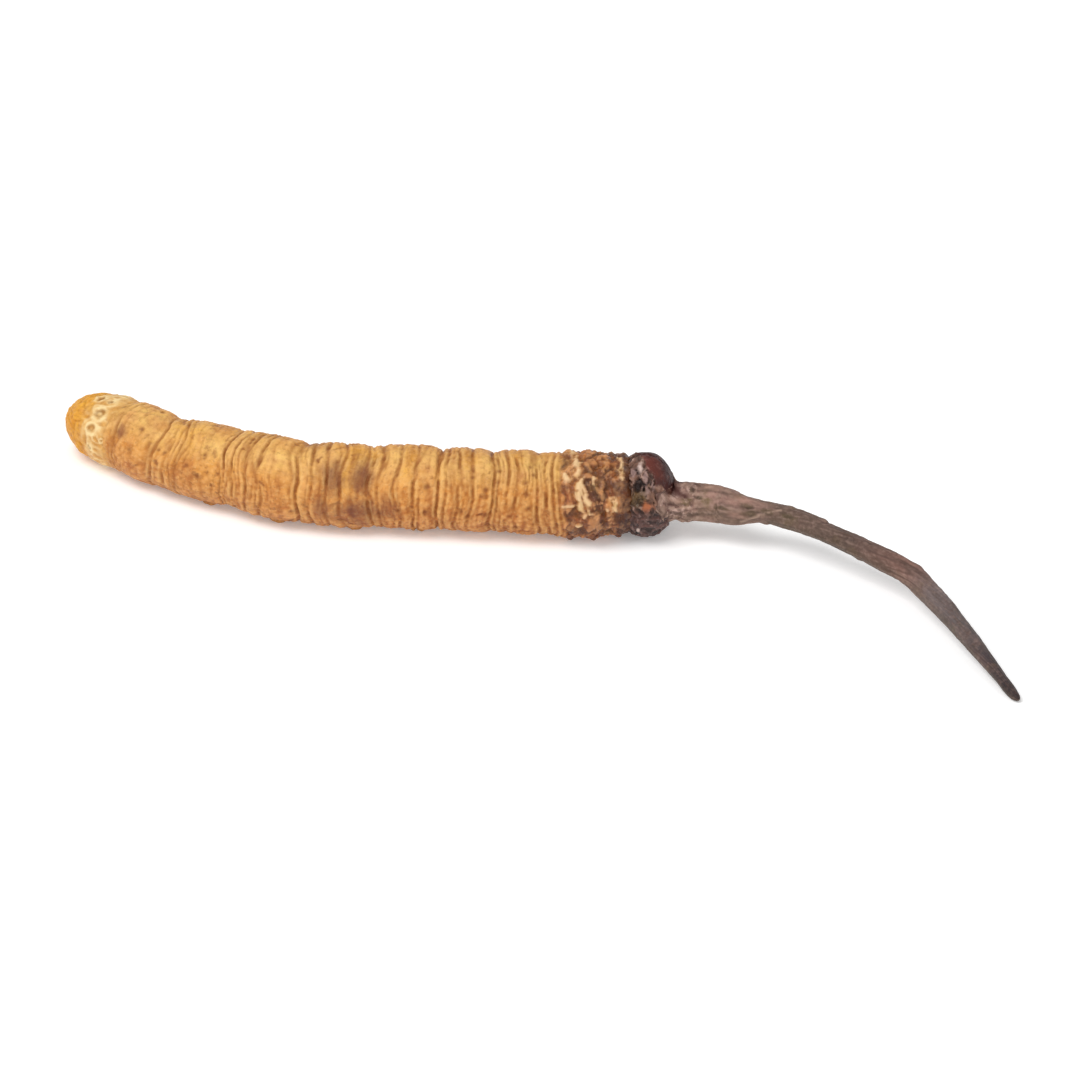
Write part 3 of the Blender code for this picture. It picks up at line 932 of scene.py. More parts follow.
def body_form():
    """The larva's large form: its surface, unrolled coordinates, taper, places and normals."""
    cap_start = BODY_LENGTH - TAIL_CAP
    middle = [(at, 1.0) for at in np.linspace(BODY_FROM, cap_start, BODY_ROWS)]
    rows = np.array([*COLLAR, *middle, *cap_rows(cap_start, TAIL_CAP, TAIL_BLUNTNESS, TAIL_ROWS)])
    at, angle = round_grid(rows[:, 0], BODY_COLUMNS)
    taper = np.repeat(rows[:, 1:2], BODY_COLUMNS, axis=1)
    radius = mean_radius(at)
    closing = radius * np.where(at > cap_start, taper, 1.0)
    flat = np.stack([at, closing * np.cos(angle), closing * np.sin(angle)], -1)

    line, distance = smooth_line(BODY_MIDLINE)
    belly = clamped(-np.cos(angle)) ** 3
    grown = THORAX_GROWTH + THORAX_BACK * clamped(np.cos(angle))
    grown *= 1 - step_up(at, *GROWTH_ENDS)
    outward = (radius + large_relief(at, angle) + grown) * taper * (1 - BELLY_FLATTENING * belly)
    along = (at + fold_waver(at, angle)) * distance[-1] / BODY_LENGTH
    place, side, up = frame_at(line, distance, np.maximum(along, 0))
    place[..., 0] += np.maximum(-along, 0)
    out = outwards(angle, side, up)
    places = place + outward[..., None] * out
    return (at, angle, radius), flat, taper, places, grid_normals(places, out)


def make_body(material):
    """The larva's skin, one closed mesh with its folds, creases, patches, marks and feet."""
    surface, flat, taper, places, normal = body_form()
    at, angle, _ = surface
    crest_height, crease, lip, near = fold_relief(at, angle)
    thorax = 1 - step_up(at + 0.30 * rough_noise(flat * 1.1, 2, 20), *THORAX_ENDS)
    tail_edge = at + 0.35 * rough_noise(flat * 0.9, 3, 19)
    pale = step_up(tail_edge, *PALE_STARTS) * (1 - step_up(tail_edge, *PALE_ENDS))
    knob = step_up(tail_edge + 0.25 * noise(flat * 1.9, 85), *KNOB_STARTS)
    plain = (1 - thorax) * (1 - knob) * (1 - 0.7 * pale)
    tail = step_up(at, *CALM_TAIL_STARTS)
    low = beneath(angle, 50, 125)

    # Fine pleats that run round the body beside the creases, a grain of small bumps, and dimples.
    wavy = bent_places(flat, 0.20, 0.8, 84)
    pleat = veins(wavy * (2.1, 0.24, 0.24), 11, 0.17)
    fine_pleat = veins(wavy * (3.6, 0.5, 0.5), 12, 0.22)
    patchy = step_up(noise(flat * (0.5, 0.4, 0.4), 13) + 0.3 * low, -0.4, 0.4)
    lines = (pleat + 0.7 * fine_pleat * patchy) * (0.12 + 0.18 * (1 - tail) + 0.44 * near) * plain
    grain, _, _ = cells(flat * 3.3, 15)
    coarse = step_up(noise(flat * (0.6, 0.5, 0.5), 16) + 0.35 * low, -0.35, 0.45)
    speckle = step_up(noise(bent_places(flat, 0.12, 2.0, 87) * 2.3, 17), 0.42, 0.72)
    speckle = speckle * (0.25 + 0.75 * coarse) * (1 - 0.7 * tail)
    crease = crease * (1 - 0.45 * thorax) * (1 - 0.9 * pale) * (1 - 0.8 * knob)
    crease = crease * (1 - 0.45 * step_up(at, *FAINT_CREASES_FROM)) * (1 - 0.6 * step_up(at, *LAST_PLATE))
    curl = veins(bent_places(flat, 0.35, 1.0, 88) * (1.6, 1.0, 1.0), 89, 0.15)
    fine_curl = veins(bent_places(flat, 0.25, 1.4, 96) * 2.1, 97, 0.18)
    curl = knob * clamped(curl + 0.6 * fine_curl)
    stain_edge = 0.45 * rough_noise(flat * (1.3, 0.8, 0.8), 4, 41)
    stain = ragged_spots(surface, STAINS, stain_edge, STAIN_FADE)
    marks = skin_marks(surface, flat)
    chest, chest_fields = thorax_relief(surface, flat)
    pits, pit_ring, pit_rim = tail_relief(surface, flat)
    feet_height, feet_ring = proleg_relief(surface)

    relief = crest_height * (1 - 0.5 * thorax) * (1 - 0.7 * pale) * (1 - 0.7 * knob) + SKIN_LIFT
    relief += LIP_HEIGHT * lip * plain - CREASE_DEPTH * crease - LINE_DEPTH * lines
    relief += GRAIN_HEIGHT * (0.5 - grain) * (0.45 + 0.75 * coarse) - SPECKLE_DEPTH * speckle * plain
    relief += SWELL_HEIGHT * rough_noise(flat * 0.7, 3, 14) + thorax * chest + pits
    relief += feet_height * taper - CURL_DEPTH * curl - MARK_DEPTH * marks - STAIN_DEPTH * stain
    places = on_floor(places + (relief * clamped(taper * 1.6))[..., None] * normal)

    # Hollows and crests of the relief. The materials paint them darker as painted shade and paler as painted
    # highlights.
    hollow = blurred(relief, 2, 2) - relief
    wide_hollow = blurred(relief, 7, 7) - relief
    neck_edge = at + 0.40 * rough_noise(flat * 1.3, 2, 18) - 0.2 * beneath(angle, 75, 125)
    attributes = {
        "unrolled": flat,
        "along": np.clip(at, 0, None) / BODY_LENGTH,
        # How far a point faces up. The ramp up the side paints the skin paler there and darker below, partly
        # as painted light and painted shade.
        "upper": 0.5 + 0.5 * np.cos(angle + math.radians(-15)),
        # Low on the side, where dark specks thicken: partly real specks and partly painted shade.
        "low": low * (1 - tail),
        "crease": clamped(crease),
        # The lips are raised and are also painted paler, as painted highlights.
        "lip": clamped(lip * plain),
        "hollow": clamped(hollow / 0.03) * 0.5 + clamped(wide_hollow / 0.10) * 0.5,
        "crest": clamped(-wide_hollow / 0.06),
        "lines": clamped(lines),
        "grain": clamped(1.1 - 1.5 * grain),
        "speckle": speckle,
        "stain": stain,
        "gold": ragged_spots(surface, GOLD_PATCHES, stain_edge, STAIN_FADE),
        "mark": marks,
        "sole": feet_ring,
        "thorax": thorax,
        "neck": 1 - step_up(neck_edge, 0.1, 0.9),
        "pale": pale,
        "pit": pit_ring,
        "pit_rim": pit_rim,
        "knob": knob,
        "curl": curl,
        **{name: field * thorax for name, field in chest_fields.items()},
    }
    return grid_mesh("larva_skin", places, attributes, material)


def make_legs(material):
    """Six small jointed legs, bent forwards under the thorax, as one mesh of closed rods."""
    line, distance = smooth_line(BODY_MIDLINE)
    share, angle = round_grid(np.linspace(0, 1, LEG_ROWS), LEG_COLUMNS)
    from_joint = np.min([np.abs(share - joint) for joint in LEG_JOINTS], axis=0)
    joint = hill(from_joint / LEG_JOINT_REACH)
    closed = np.sqrt(clamped(1 - np.abs(2 * share - 1) ** 10))
    radius = (LEG_ROOT_RADIUS + (LEG_TIP_RADIUS - LEG_ROOT_RADIUS) * share) * closed
    radius = radius * (1 - 0.22 * joint)
    legs = []
    for name, part, reach in LEGS:
        middle, side, _ = frame_at(line, distance, np.array([along_body(name, part)]))
        under = middle[0] * (1, 1, 0)
        for out in (-side[0], side[0]):
            root = under + reach * out + (0, 0, LEG_HEIGHT)
            foot = under + (reach - LEG_FOOT_IN) * out + (LEG_FOOT_AHEAD, 0, LEG_FOOT_HEIGHT)
            knee = (root + foot) / 2 + LEG_KNEE_OUT * out
            route, along = smooth_line((root, knee, foot), 12)
            place, across, up = frame_at(route, along, share * along[-1])
            outward = outwards(angle, across, up)
            rough = 1 + 0.10 * noise((place + outward) * 1.6, 91)
            legs.append(place + (radius * rough)[..., None] * outward)
    places = np.array(legs)
    attributes = {
        "unrolled": places,
        "joint": np.broadcast_to(joint, places.shape[:-1]),
        "share": np.broadcast_to(share, places.shape[:-1]),
    }
    return grid_mesh("thoracic_legs", on_floor(places, 0.02), attributes, material)


def head_surface(share, turn):
    """Places on the head's large form, for a share from -1 at its back to 1, and an angle."""
    round_front = np.sqrt(clamped(1 - share**2))
    blunt_back = clamped(1 - np.abs(share) ** HEAD_BACK_POWER) ** (1 / HEAD_BACK_POWER)
    waist = np.where(share < 0, blunt_back, round_front)
    crown = 1 + HEAD_CROWN * clamped(np.cos(turn))
    reach = np.stack([share, -waist * np.sin(turn), waist * np.cos(turn) * crown], -1)
    return np.array(HEAD_CENTRE) + reach * HEAD_HALF


def head_spots(share, turn, flat):
    """A mask for each kind of spot on the head, with ragged outlines."""
    uneven = 0.80 * rough_noise(flat * 2.6, 4, 62)
    masks = {}
    for name, spots in HEAD_SPOTS.items():
        raggedness, fade = (0.5, (0.3, 1.3)) if name in SOFT_SPOTS else (1.0, (0.6, 1.3))
        masks[name] = 0.0
        for at, angle, half_length, half_turn in spots:
            away = np.hypot((share - at) / half_length, (np.degrees(turn) - angle) / half_turn)
            masks[name] = np.maximum(masks[name], 1 - step_up(away + uneven * raggedness, *fade))
    return masks


def make_head(material):
    """The head's shell: a smooth dome, crumpled and hollow behind and below it, with dark lobes."""
    polar, turn = round_grid(np.linspace(np.pi, 0, HEAD_ROWS), HEAD_COLUMNS)
    share = np.cos(polar)
    waist = np.sin(polar)
    places = head_surface(share, turn)
    flat = places - np.array(HEAD_CENTRE)
    normal = grid_normals(places, flat)

    degrees = np.degrees(turn) + 11 * rough_noise(flat * 1.5, 4, 51)
    from_near = read_line(share, DOME_EDGE_NEAR) - degrees
    from_far = degrees - read_line(share, DOME_EDGE_FAR)
    dome = step_up(from_near, *DOME_STARTS) * step_up(from_far, *DOME_STARTS)
    lobe = step_up(np.abs(degrees), *LOBE_STARTS) * (1 - dome)
    crumple = (1 - dome) * (1 - 0.5 * lobe)
    dome_rim = hill((from_near - RIM_AWAY) / RIM_WIDTH) + hill((from_far - RIM_AWAY) / RIM_WIDTH)
    seam = hill((degrees - SEAM_ANGLE) / SEAM_HALF_TURN) * waist * dome

    # Sharp ridges round hollows on the cheeks, lumps on the lobes, and faint streaks on the dome.
    bent = bent_places(flat, 0.30, 1.3, 52)
    ridge = veins(bent * 1.25, 56, 0.15)
    small_ridge = veins(bent * 2.7, 57, 0.17)
    lump = 0.5 * noise(bent * (0.8, 1.2, 1.2), 59) + 0.15 * noise(bent * (1.8, 2.6, 2.6), 65)
    streak = noise(np.stack([share * 0.9, degrees * 0.06, np.zeros_like(share)], -1), 58)
    tiny = noise(bent * 4.6, 63)
    relief = RIM_HEIGHT * dome_rim * dome - SEAM_DEPTH * seam + 0.016 * streak * dome
    ridges = RIDGE_HEIGHT * ridge + SMALL_RIDGE_HEIGHT * small_ridge
    relief += crumple * (ridges + 0.04 * tiny - CHEEK_DEPTH)
    relief += lobe * (0.26 * lump + LOBE_HEIGHT + 0.012 * tiny)
    collar = hill((share - HEAD_COLLAR) / HEAD_COLLAR_WIDTH)
    relief += collar * (1 - 0.6 * dome) * 0.10 * noise(flat * 1.8, 60)
    spots = head_spots(share, turn, flat)
    relief *= 1 - 0.7 * spots["orange"]
    relief += 0.06 * (spots["flake_glint"] + spots["scale"]) + 0.05 * spots["orange"]
    relief -= BLACK_DEPTH * spots["black"]
    relief += 0.012 * rough_noise(flat * 2.6, 3, 61)
    relief *= clamped(waist * 2.5)
    places = on_floor(places + relief[..., None] * normal)

    hollow = blurred(relief, 9, 9) - relief
    attributes = {
        "unrolled": flat,
        "dome": dome,
        "lobe": lobe,
        "streak": 0.5 + 0.5 * streak,
        # The dome is painted lighter and redder in its middle and darker at its upper and front rims, as
        # painted light and painted shade.
        "middle_light": hill((degrees - 14 - 26 * share) / 20) * (1 - step_up(share, 0.15, 0.95)),
        "shade": clamped(step_up(-degrees, -22, 28) + step_up(share, 0.35, 1.05)) * dome,
        "edge": clamped(dome_rim) * dome,
        # Hollows that the material paints dark as painted shade, and crests that it paints paler on the
        # lobes as painted highlights.
        "hollow": clamped(hollow / 0.06) * (1 - dome),
        "ridge": clamped(0.8 * ridge + 0.5 * small_ridge) * crumple,
        "crest": clamped(-hollow / 0.05),
        "seam": seam,
        **spots,
    }
    return grid_mesh("head_shell_piece", places, attributes, material)


def rod_form(at, angle, line, distance, taper=1.0):
    """Places on the stalk's large form, with the directions out of it."""
    ridges = 1.0
    for height, count, twist, phase in STALK_RIDGES:
        fade = clamped(at / RIDGE_START)
        ridges = ridges + height * fade * np.cos(count * angle + twist * at + phase)
    place, side, up = frame_at(line, distance, at)
    out = outwards(angle, side, up)
    return place + (read_line(at, STALK_RADIUS) * ridges * taper)[..., None] * out, out


def skirt_form(share, angle, at, line, distance):
    """The stalk's skirt, which leaves the head's form along a ragged edge and becomes a rod."""
    edge = read_line(np.degrees(angle), SKIRT_EDGE)
    edge = edge + 0.07 * round_noise(angle, 3.2, 1.0, 71) + 0.05 * round_noise(angle, 8.0, 2.0, 72)
    over_head = head_surface(edge + (SKIRT_END - edge) * share, angle)
    thick = SKIRT_THICKNESS + 0.05 * round_noise(angle, 5.0, 3.0, 73)
    lift = thick * step_up(share, 0.0, 0.14) - SKIRT_SUNK
    centre = np.array(HEAD_CENTRE)
    over_head = centre + (over_head - centre) * (1 + lift / SKIRT_HEAD_RADIUS)[..., None]
    on_rod, _ = rod_form(at, angle, line, distance)
    blend = step_up(share, 0.30, 1.0)[..., None]
    return over_head * (1 - blend) + on_rod * blend


def stalk_relief(surface, flat, swell, fibre):
    """The stalk's furrows, warts, ridge, shoulders and knobs, and the masks of its marks."""
    at, angle, radius = surface
    furrow = veins(fibre * (0.9, 1.0, 1.0), 62, 0.15)
    furrow = furrow * step_up(noise(flat * (0.25, 0.4, 0.4), 63), -0.1, 0.6)
    fine = noise(fibre * (2.2, 3.6, 3.6), 64)
    spread = 1 - step_up(at + 0.5 * noise(flat * 0.8, 68), *ROUGH_ROOT_ENDS)
    lumps, _, _ = cells(flat * 2.4, 66)
    warts, _, _ = cells(flat * (2.4, 3.0, 3.0), 67)
    relief = FIBRE_HEIGHT * fine - FURROW_DEPTH * furrow + BARK_SWELL * swell + WART_HEIGHT * (0.5 - warts)
    relief = relief * np.clip(radius, 0.4, 1.0) + spread * ROOT_LUMP_HEIGHT * (0.5 - lumps)
    pinch = hill(stroke_distance(surface, PINCH_RIDGE) / PINCH_RIDGE_WIDTH)
    pinch = pinch * clamped(0.75 + 0.8 * rough_noise(flat * 1.8, 3, 94))
    ragged = 0.50 * rough_noise(flat * (1.6, 2.2, 2.2), 3, 95)
    dark_spot = ragged_spots(surface, DARK_SPOTS, ragged, BARK_SPOT_FADE)
    pink_spot = ragged_spots(surface, PINK_SPOTS, ragged, BARK_SPOT_FADE)
    relief += PINCH_HEIGHT * pinch - DARK_SPOT_DEPTH * dark_spot
    for where, slant, turn, drop in STALK_STEPS:
        around = angle - math.radians(turn)
        away = at - where - slant * np.cos(around) - 0.12 * swell
        window = hill(np.degrees(wrapped(around)) / STEP_HALF_TURN)
        relief += drop * window * (hill((away + 0.22) / 0.30) - 0.8 * hill((away - 0.12) / 0.15))
    for where, turn, reach, height in STALK_KNOBS:
        relief += height * hill(spot_away(surface, where, turn, reach, reach))
    masks = {"furrow": furrow, "pinch": pinch, "spread": spread}
    return relief, {**masks, "dark_spot": dark_spot, "pink_spot": pink_spot}


def make_stalk(material):
    """The fungus stalk: it spreads over the front of the head and tapers to a blunt dark tip."""
    line, distance = smooth_line(STALK_MIDLINE)
    tip_start = distance[-1] - STALK_TIP_CAP
    share, skirt_angle = round_grid(np.linspace(0, 1, SKIRT_ROWS), STALK_COLUMNS)
    skirt_at = SKIRT_FROM + (SKIRT_TO - SKIRT_FROM) * share
    skirt = skirt_form(share, skirt_angle, skirt_at, line, distance)
    inner = [SKIRT_ROOT + (skirt[0] - SKIRT_ROOT) * part for part in SKIRT_ROOT_ROWS]

    middle = [(where, 1.0) for where in np.linspace(SKIRT_TO, tip_start, STALK_ROWS)[1:]]
    rows = np.array([*middle, *cap_rows(tip_start, STALK_TIP_CAP, STALK_BLUNTNESS, TIP_ROWS)])
    rod_at, rod_angle = round_grid(rows[:, 0], STALK_COLUMNS)
    taper = np.repeat(rows[:, 1:2], STALK_COLUMNS, axis=1)
    rod, out = rod_form(rod_at, rod_angle, line, distance, taper)

    hidden = np.zeros((len(inner), STALK_COLUMNS))
    places = np.concatenate([np.array(inner), skirt, rod])
    at = np.concatenate([hidden + SKIRT_FROM, skirt_at, rod_at])
    angle = np.concatenate([hidden + skirt_angle[0], skirt_angle, rod_angle])
    fade = np.concatenate([hidden, step_up(share, 0.0, 0.06), taper])
    rim = np.concatenate([hidden + 1, 1 - step_up(share, 0.04, 0.18), 0 * taper])
    radius = read_line(at, STALK_RADIUS)
    flat = np.stack([at, radius * np.cos(angle), radius * np.sin(angle)], -1)
    outward = np.concatenate([np.repeat(out[:1], len(inner) + SKIRT_ROWS, axis=0), out])

    twisted = angle + 0.16 * at
    fibre = np.stack([0.30 * at, 1.5 * np.cos(twisted), 1.5 * np.sin(twisted)], -1)
    swell = rough_noise(flat * (0.6, 0.9, 0.9), 4, 65)
    relief, masks = stalk_relief((at, angle, radius), flat, swell, fibre)
    raised = (relief * clamped(fade * 1.5))[..., None] * grid_normals(places, outward)
    hollow = blurred(relief, 2, 2) - relief
    degrees = np.degrees(angle)
    tongue = hill((degrees - 38 - 8 * (at - 2.0)) / 13) * (1 - step_up(at, 2.3, 2.9))
    top = hill(degrees / 50) * (1 - step_up(at + 0.4 * swell, 1.7, 2.1))
    # The underside, which the bark paints darker and more olive: partly its colour and partly painted shade.
    lower = beneath(angle, 45, 105)
    attributes = {
        "unrolled": flat,
        "fibre": fibre,
        "along": at / distance[-1],
        # Hollows and crests of the relief, painted darker as painted shade and paler as painted highlights.
        "hollow": clamped(hollow / 0.02),
        "crest": clamped(-hollow / 0.02),
        "tongue": clamped(tongue + top + 0.75 * rim * (1 - lower)),
        "lower": lower,
        **masks,
    }
    return grid_mesh("fungus_stalk", on_floor(places + raised, 0.03), attributes, material)


def linear(red, green, blue):
    """A screen colour from 0 to 255 as the linear colour that a shader takes."""
    shares = np.array((red, green, blue)) / 255.0
    made = np.where(shares <= 0.04045, shares / 12.92, ((shares + 0.055) / 1.055) ** 2.4)
    return (*[float(share) for share in made], 1.0)


class Shade:
    """A material's nodes, added one after another. Colours are given from 0 to 255."""

    def __init__(self, name):
        self.material = bpy.data.materials.new(name)
        self.material.use_nodes = True
        self.nodes = self.material.node_tree.nodes
        self.links = self.material.node_tree.links
        self.shader = self.nodes["Principled BSDF"]

    def put(self, socket, value):
        """Gives a socket a constant, or links another node's output to it."""
        if isinstance(value, (int, float, tuple)):
            socket.default_value = value
        else:
            self.links.new(value, socket)

    def node(self, kind, output, inputs, **settings):
        """The output of a new node with these inputs and settings."""
        made = self.nodes.new("ShaderNode" + kind)
        for name, value in settings.items():
            setattr(made, name, value)
        for name, value in inputs.items():
            self.put(made.inputs[name], value)
        return made.outputs[output]

    def attribute(self, name, output="Fac"):
        return self.node("Attribute", output, {}, attribute_name=name)

    def noise(self, vector, scale, detail=3.0, roughness=0.55):
        inputs = {"Vector": vector, "Scale": scale, "Detail": detail, "Roughness": roughness}
        return self.node("TexNoise", "Fac", inputs)

    def stretched(self, vector, scale):
        return self.node("Mapping", "Vector", {"Vector": vector, "Scale": scale})

    def range(self, value, low, high, new_low=0.0, new_high=1.0):
        limits = {"From Min": low, "From Max": high, "To Min": new_low, "To Max": new_high}
        return self.node("MapRange", "Result", {"Value": value, **limits})

    def clouds(self, vector, scale, limits, detail=3.0, roughness=0.55):
        """Noise as a mask, which is 0 below the lower limit and 1 above the upper one."""
        return self.range(self.noise(vector, scale, detail, roughness), *limits)

    def times(self, first, second, operation="MULTIPLY"):
        return self.node("Math", "Value", {0: first, 1: second}, operation=operation, use_clamp=True)

    def faded(self, mask, by, low, high):
        """A mask times a share that goes from low to high as another mask goes from 0 to 1."""
        return self.times(mask, self.range(by, 0.0, 1.0, low, high))

    def mix(self, factor, first, second):
        first, second = (linear(*side) if isinstance(side, tuple) else side for side in (first, second))
        return self.node("Mix", 2, {0: factor, 6: first, 7: second}, data_type="RGBA")

    def layers(self, colour, *rows):
        """A colour under others. A row is a mask or an attribute's name, a strength and a colour."""
        for mask, strength, over in rows:
            mask = self.attribute(mask) if isinstance(mask, str) else mask
            colour = self.mix(self.times(mask, strength), colour, over)
        return colour

    def ramp(self, factor, stops):
        node = self.nodes.new("ShaderNodeValToRGB")
        elements = node.color_ramp.elements
        while len(elements) < len(stops):
            elements.new(0.5)
        for element, (place, colour) in zip(elements, stops):
            element.position = place
            element.color = linear(*colour)
        self.put(node.inputs["Fac"], factor)
        return node.outputs["Color"]

    def bump(self, height, strength, distance):
        inputs = {"Strength": strength, "Distance": distance, "Height": height}
        self.put(self.shader.inputs["Normal"], self.node("Bump", "Normal", inputs))

    def set(self, **values):
        for name, value in values.items():
            self.put(self.shader.inputs[name.replace("_", " ")], value)


def thorax_colour(shade, place, mottle):
    """The thorax's brown lumps, dark or pale by their tone, with specks, painted highlights on their crests
    and painted shade in their valleys.
    """
    olive = shade.clouds(shade.stretched(place, (1.0, 1.2, 0.8)), 1.15, (0.52, 0.66))
    pore = shade.clouds(shade.stretched(place, (1.5, 0.8, 0.8)), 2.6, (0.55, 0.66), 3.0, 0.6)
    return shade.layers(
        shade.ramp(shade.range(shade.attribute("tone"), -0.9, 0.7), THORAX_TONES),
        (shade.clouds(place, 0.95, (0.46, 0.60)), 0.40, (146, 66, 36)),
        (olive, 0.40, (138, 104, 42)),
        (mottle, 0.50, (92, 46, 26)),
        (shade.clouds(place, 3.1, (0.54, 0.66), 3.0, 0.6), 0.60, (224, 156, 102)),
        (pore, 0.60, (66, 32, 22)),
        # Painted highlights on the lumps' crests and painted shade in the valleys between them.
        ("crest", 0.42, (236, 168, 106)),
        ("valley", 0.80, (42, 21, 17)),
    )


def cream_colour(shade, place, mottle):
    """The thorax's pale ridge: cream, rosy and greenish by turns, with painted shade in its hollows and
    painted highlights on its crests.
    """
    return shade.layers(
        shade.mix(shade.times(mottle, 0.85), (244, 200, 144), (192, 132, 76)),
        (shade.clouds(place, 2.0, (0.48, 0.60)), 0.40, (222, 160, 120)),
        (shade.clouds(place, 1.3, (0.50, 0.64)), 0.40, (204, 172, 96)),
        ("hollow", 0.80, (144, 96, 48)),
        ("crest", 0.50, (252, 220, 172)),
    )


def skin_material():
    """Dry ochre skin with purple stains and a pale tail, painted highlights on crests and painted shade in
    creases and hollows.
    """
    shade = Shade("dry_ochre_skin")
    place = shade.attribute("unrolled", "Vector")
    drawn = shade.stretched(place, (1.3, 0.7, 0.7))
    by_length = shade.ramp(shade.attribute("along"), SKIN_BY_LENGTH)
    tone_and_light_by_height = shade.ramp(shade.attribute("upper"), SKIN_TONE_AND_LIGHT_BY_HEIGHT)
    mottle = shade.clouds(place, 2.2, (0.42, 0.70), 5.0, 0.62)
    dark_speck = shade.clouds(place, 3.8, (0.55, 0.68), 4.0, 0.7)
    broken = shade.range(shade.noise(place, 1.7, 4.0), 0.36, 0.62, 0.30, 1.0)
    dark_neck = shade.range(shade.noise(place, 1.6, 4.0, 0.6), 0.30, 0.60, 0.40, 1.0)
    cream_zone = shade.mix(shade.times(mottle, 0.75), (224, 168, 88), (192, 128, 56))
    amber = shade.mix(shade.times(mottle, 0.70), (242, 174, 44), (212, 128, 28))
    colour = shade.layers(
        shade.mix(0.60, by_length, tone_and_light_by_height),
        (shade.clouds(place, 0.50, (0.42, 0.66), 4.0), 0.40, (206, 124, 48)),
        (shade.clouds(drawn, 0.75, (0.50, 0.68), 4.0), 0.45, (192, 112, 68)),
        ("gold", 0.65, (240, 172, 60)),
        (mottle, 0.52, (160, 92, 40)),
        ("grain", 0.48, (240, 178, 100)),
        (shade.clouds(place, 5.0, (0.54, 0.70), 3.0, 0.6), 0.45, (250, 196, 124)),
        # Dark specks that thicken towards the belly: partly the skin's specks and partly painted shade low
        # down.
        (shade.faded(dark_speck, shade.attribute("low"), 0.42, 0.90), 1.0, (136, 76, 38)),
        ("speckle", 0.72, (128, 70, 34)),
        # Painted shade in the fine pleats.
        ("lines", 0.68, (158, 88, 30)),
        # Painted highlights on the crests of the relief and on the lips beside the creases.
        ("crest", 0.28, (248, 192, 120)),
        ("lip", 0.50, (250, 200, 126)),
        (shade.faded(shade.attribute("stain"), mottle, 0.86, 1.0), 1.0, (104, 54, 46)),
        ("pale", 0.80, cream_zone),
        ("knob", 0.75, amber),
        ("curl", 0.26, (176, 108, 36)),
        ("pit_rim", 0.80, (255, 230, 172)),
        ("pit", 0.70, (156, 112, 54)),
        ("thorax", 0.94, thorax_colour(shade, place, mottle)),
        (shade.times(dark_neck, shade.attribute("neck")), 0.88, (54, 29, 30)),
        ("cream", 0.92, cream_colour(shade, place, mottle)),
        ("sole", 0.35, (120, 70, 36)),
        ("mark", 0.72, (124, 66, 30)),
        # Painted shade in the creases and in the hollows of the relief.
        (shade.times(shade.attribute("crease"), broken), 0.80, (146, 80, 20)),
        ("hollow", 0.30, (132, 72, 24)),
    )
    gloss = shade.times(shade.attribute("thorax"), shade.attribute("cream"), "SUBTRACT")
    roughness = shade.range(gloss, 0.0, 1.0, 0.46, 0.20)
    specular = shade.range(gloss, 0.0, 1.0, 0.26, 0.36)
    shade.set(Base_Color=colour, Roughness=roughness, Specular_IOR_Level=specular)
    shade.bump(shade.noise(place, 5.0, 6.0, 0.65), 0.8, 0.00010)
    return shade.material


def head_material():
    """A glossy maroon dome over black, olive and orange crumples and dark purple lobes, with painted light
    and shade.
    """
    shade = Shade("maroon_shell")
    place = shade.attribute("unrolled", "Vector")
    streaks = shade.range(shade.attribute("streak"), 0.10, 0.95)
    cloud = shade.clouds(place, 1.4, (0.35, 0.65), 4.0, 0.6)
    dust = shade.clouds(place, 3.4, (0.55, 0.68), 4.0, 0.65)
    pale = shade.range(shade.noise(place, 1.9, 4.0), 0.46, 0.62, 0.05, 0.85)
    dome = shade.layers(
        shade.mix(streaks, (48, 20, 20), (84, 44, 38)),
        # Painted light in the dome's middle, then painted shade towards its rims.
        (shade.faded(shade.attribute("middle_light"), streaks, 0.35, 1.0), 0.78, (138, 66, 50)),
        ("shade", 0.75, (42, 15, 18)),
        (cloud, 0.40, (74, 32, 28)),
        (shade.faded(dust, shade.attribute("edge"), 0.28, 0.85), 1.0, (158, 112, 102)),
    )
    lobe = shade.layers(
        shade.mix(cloud, (22, 11, 13), (80, 47, 43)),
        # Painted highlights on the lobes' crests.
        ("crest", 0.42, (126, 88, 80)),
        (dust, 0.50, (172, 138, 128)),
    )
    colour = shade.layers(
        shade.mix(cloud, (50, 30, 27), (124, 86, 68)),
        (shade.times(shade.attribute("ridge"), pale), 1.0, (190, 154, 138)),
        (shade.clouds(place, 1.1, (0.50, 0.62)), 0.35, (140, 100, 78)),
        ("scale", 0.60, (172, 140, 134)),
        ("olive", 0.65, (96, 74, 34)),
        ("orange", 0.78, (178, 100, 60)),
        ("dome", 1.0, dome),
        ("lobe", 0.85, lobe),
        ("seam", 0.4, (44, 18, 18)),
        # Painted shade in the hollows and in the black dent.
        ("hollow", 0.55, (40, 23, 20)),
        ("black", 0.75, (22, 11, 15)),
        # Raised flakes painted near white: partly pale flakes and partly painted glints.
        ("flake_glint", 0.80, (226, 198, 186)),
    )
    roughness = shade.range(cloud, 0.0, 1.0, 0.28, 0.46)
    specular = shade.range(shade.attribute("shade"), 0.0, 1.0, 0.30, 0.04)
    shade.set(Base_Color=colour, Roughness=roughness, Specular_IOR_Level=specular)
    shade.bump(shade.noise(place, 5.0, 5.0, 0.6), 0.6, 0.00007)
    return shade.material


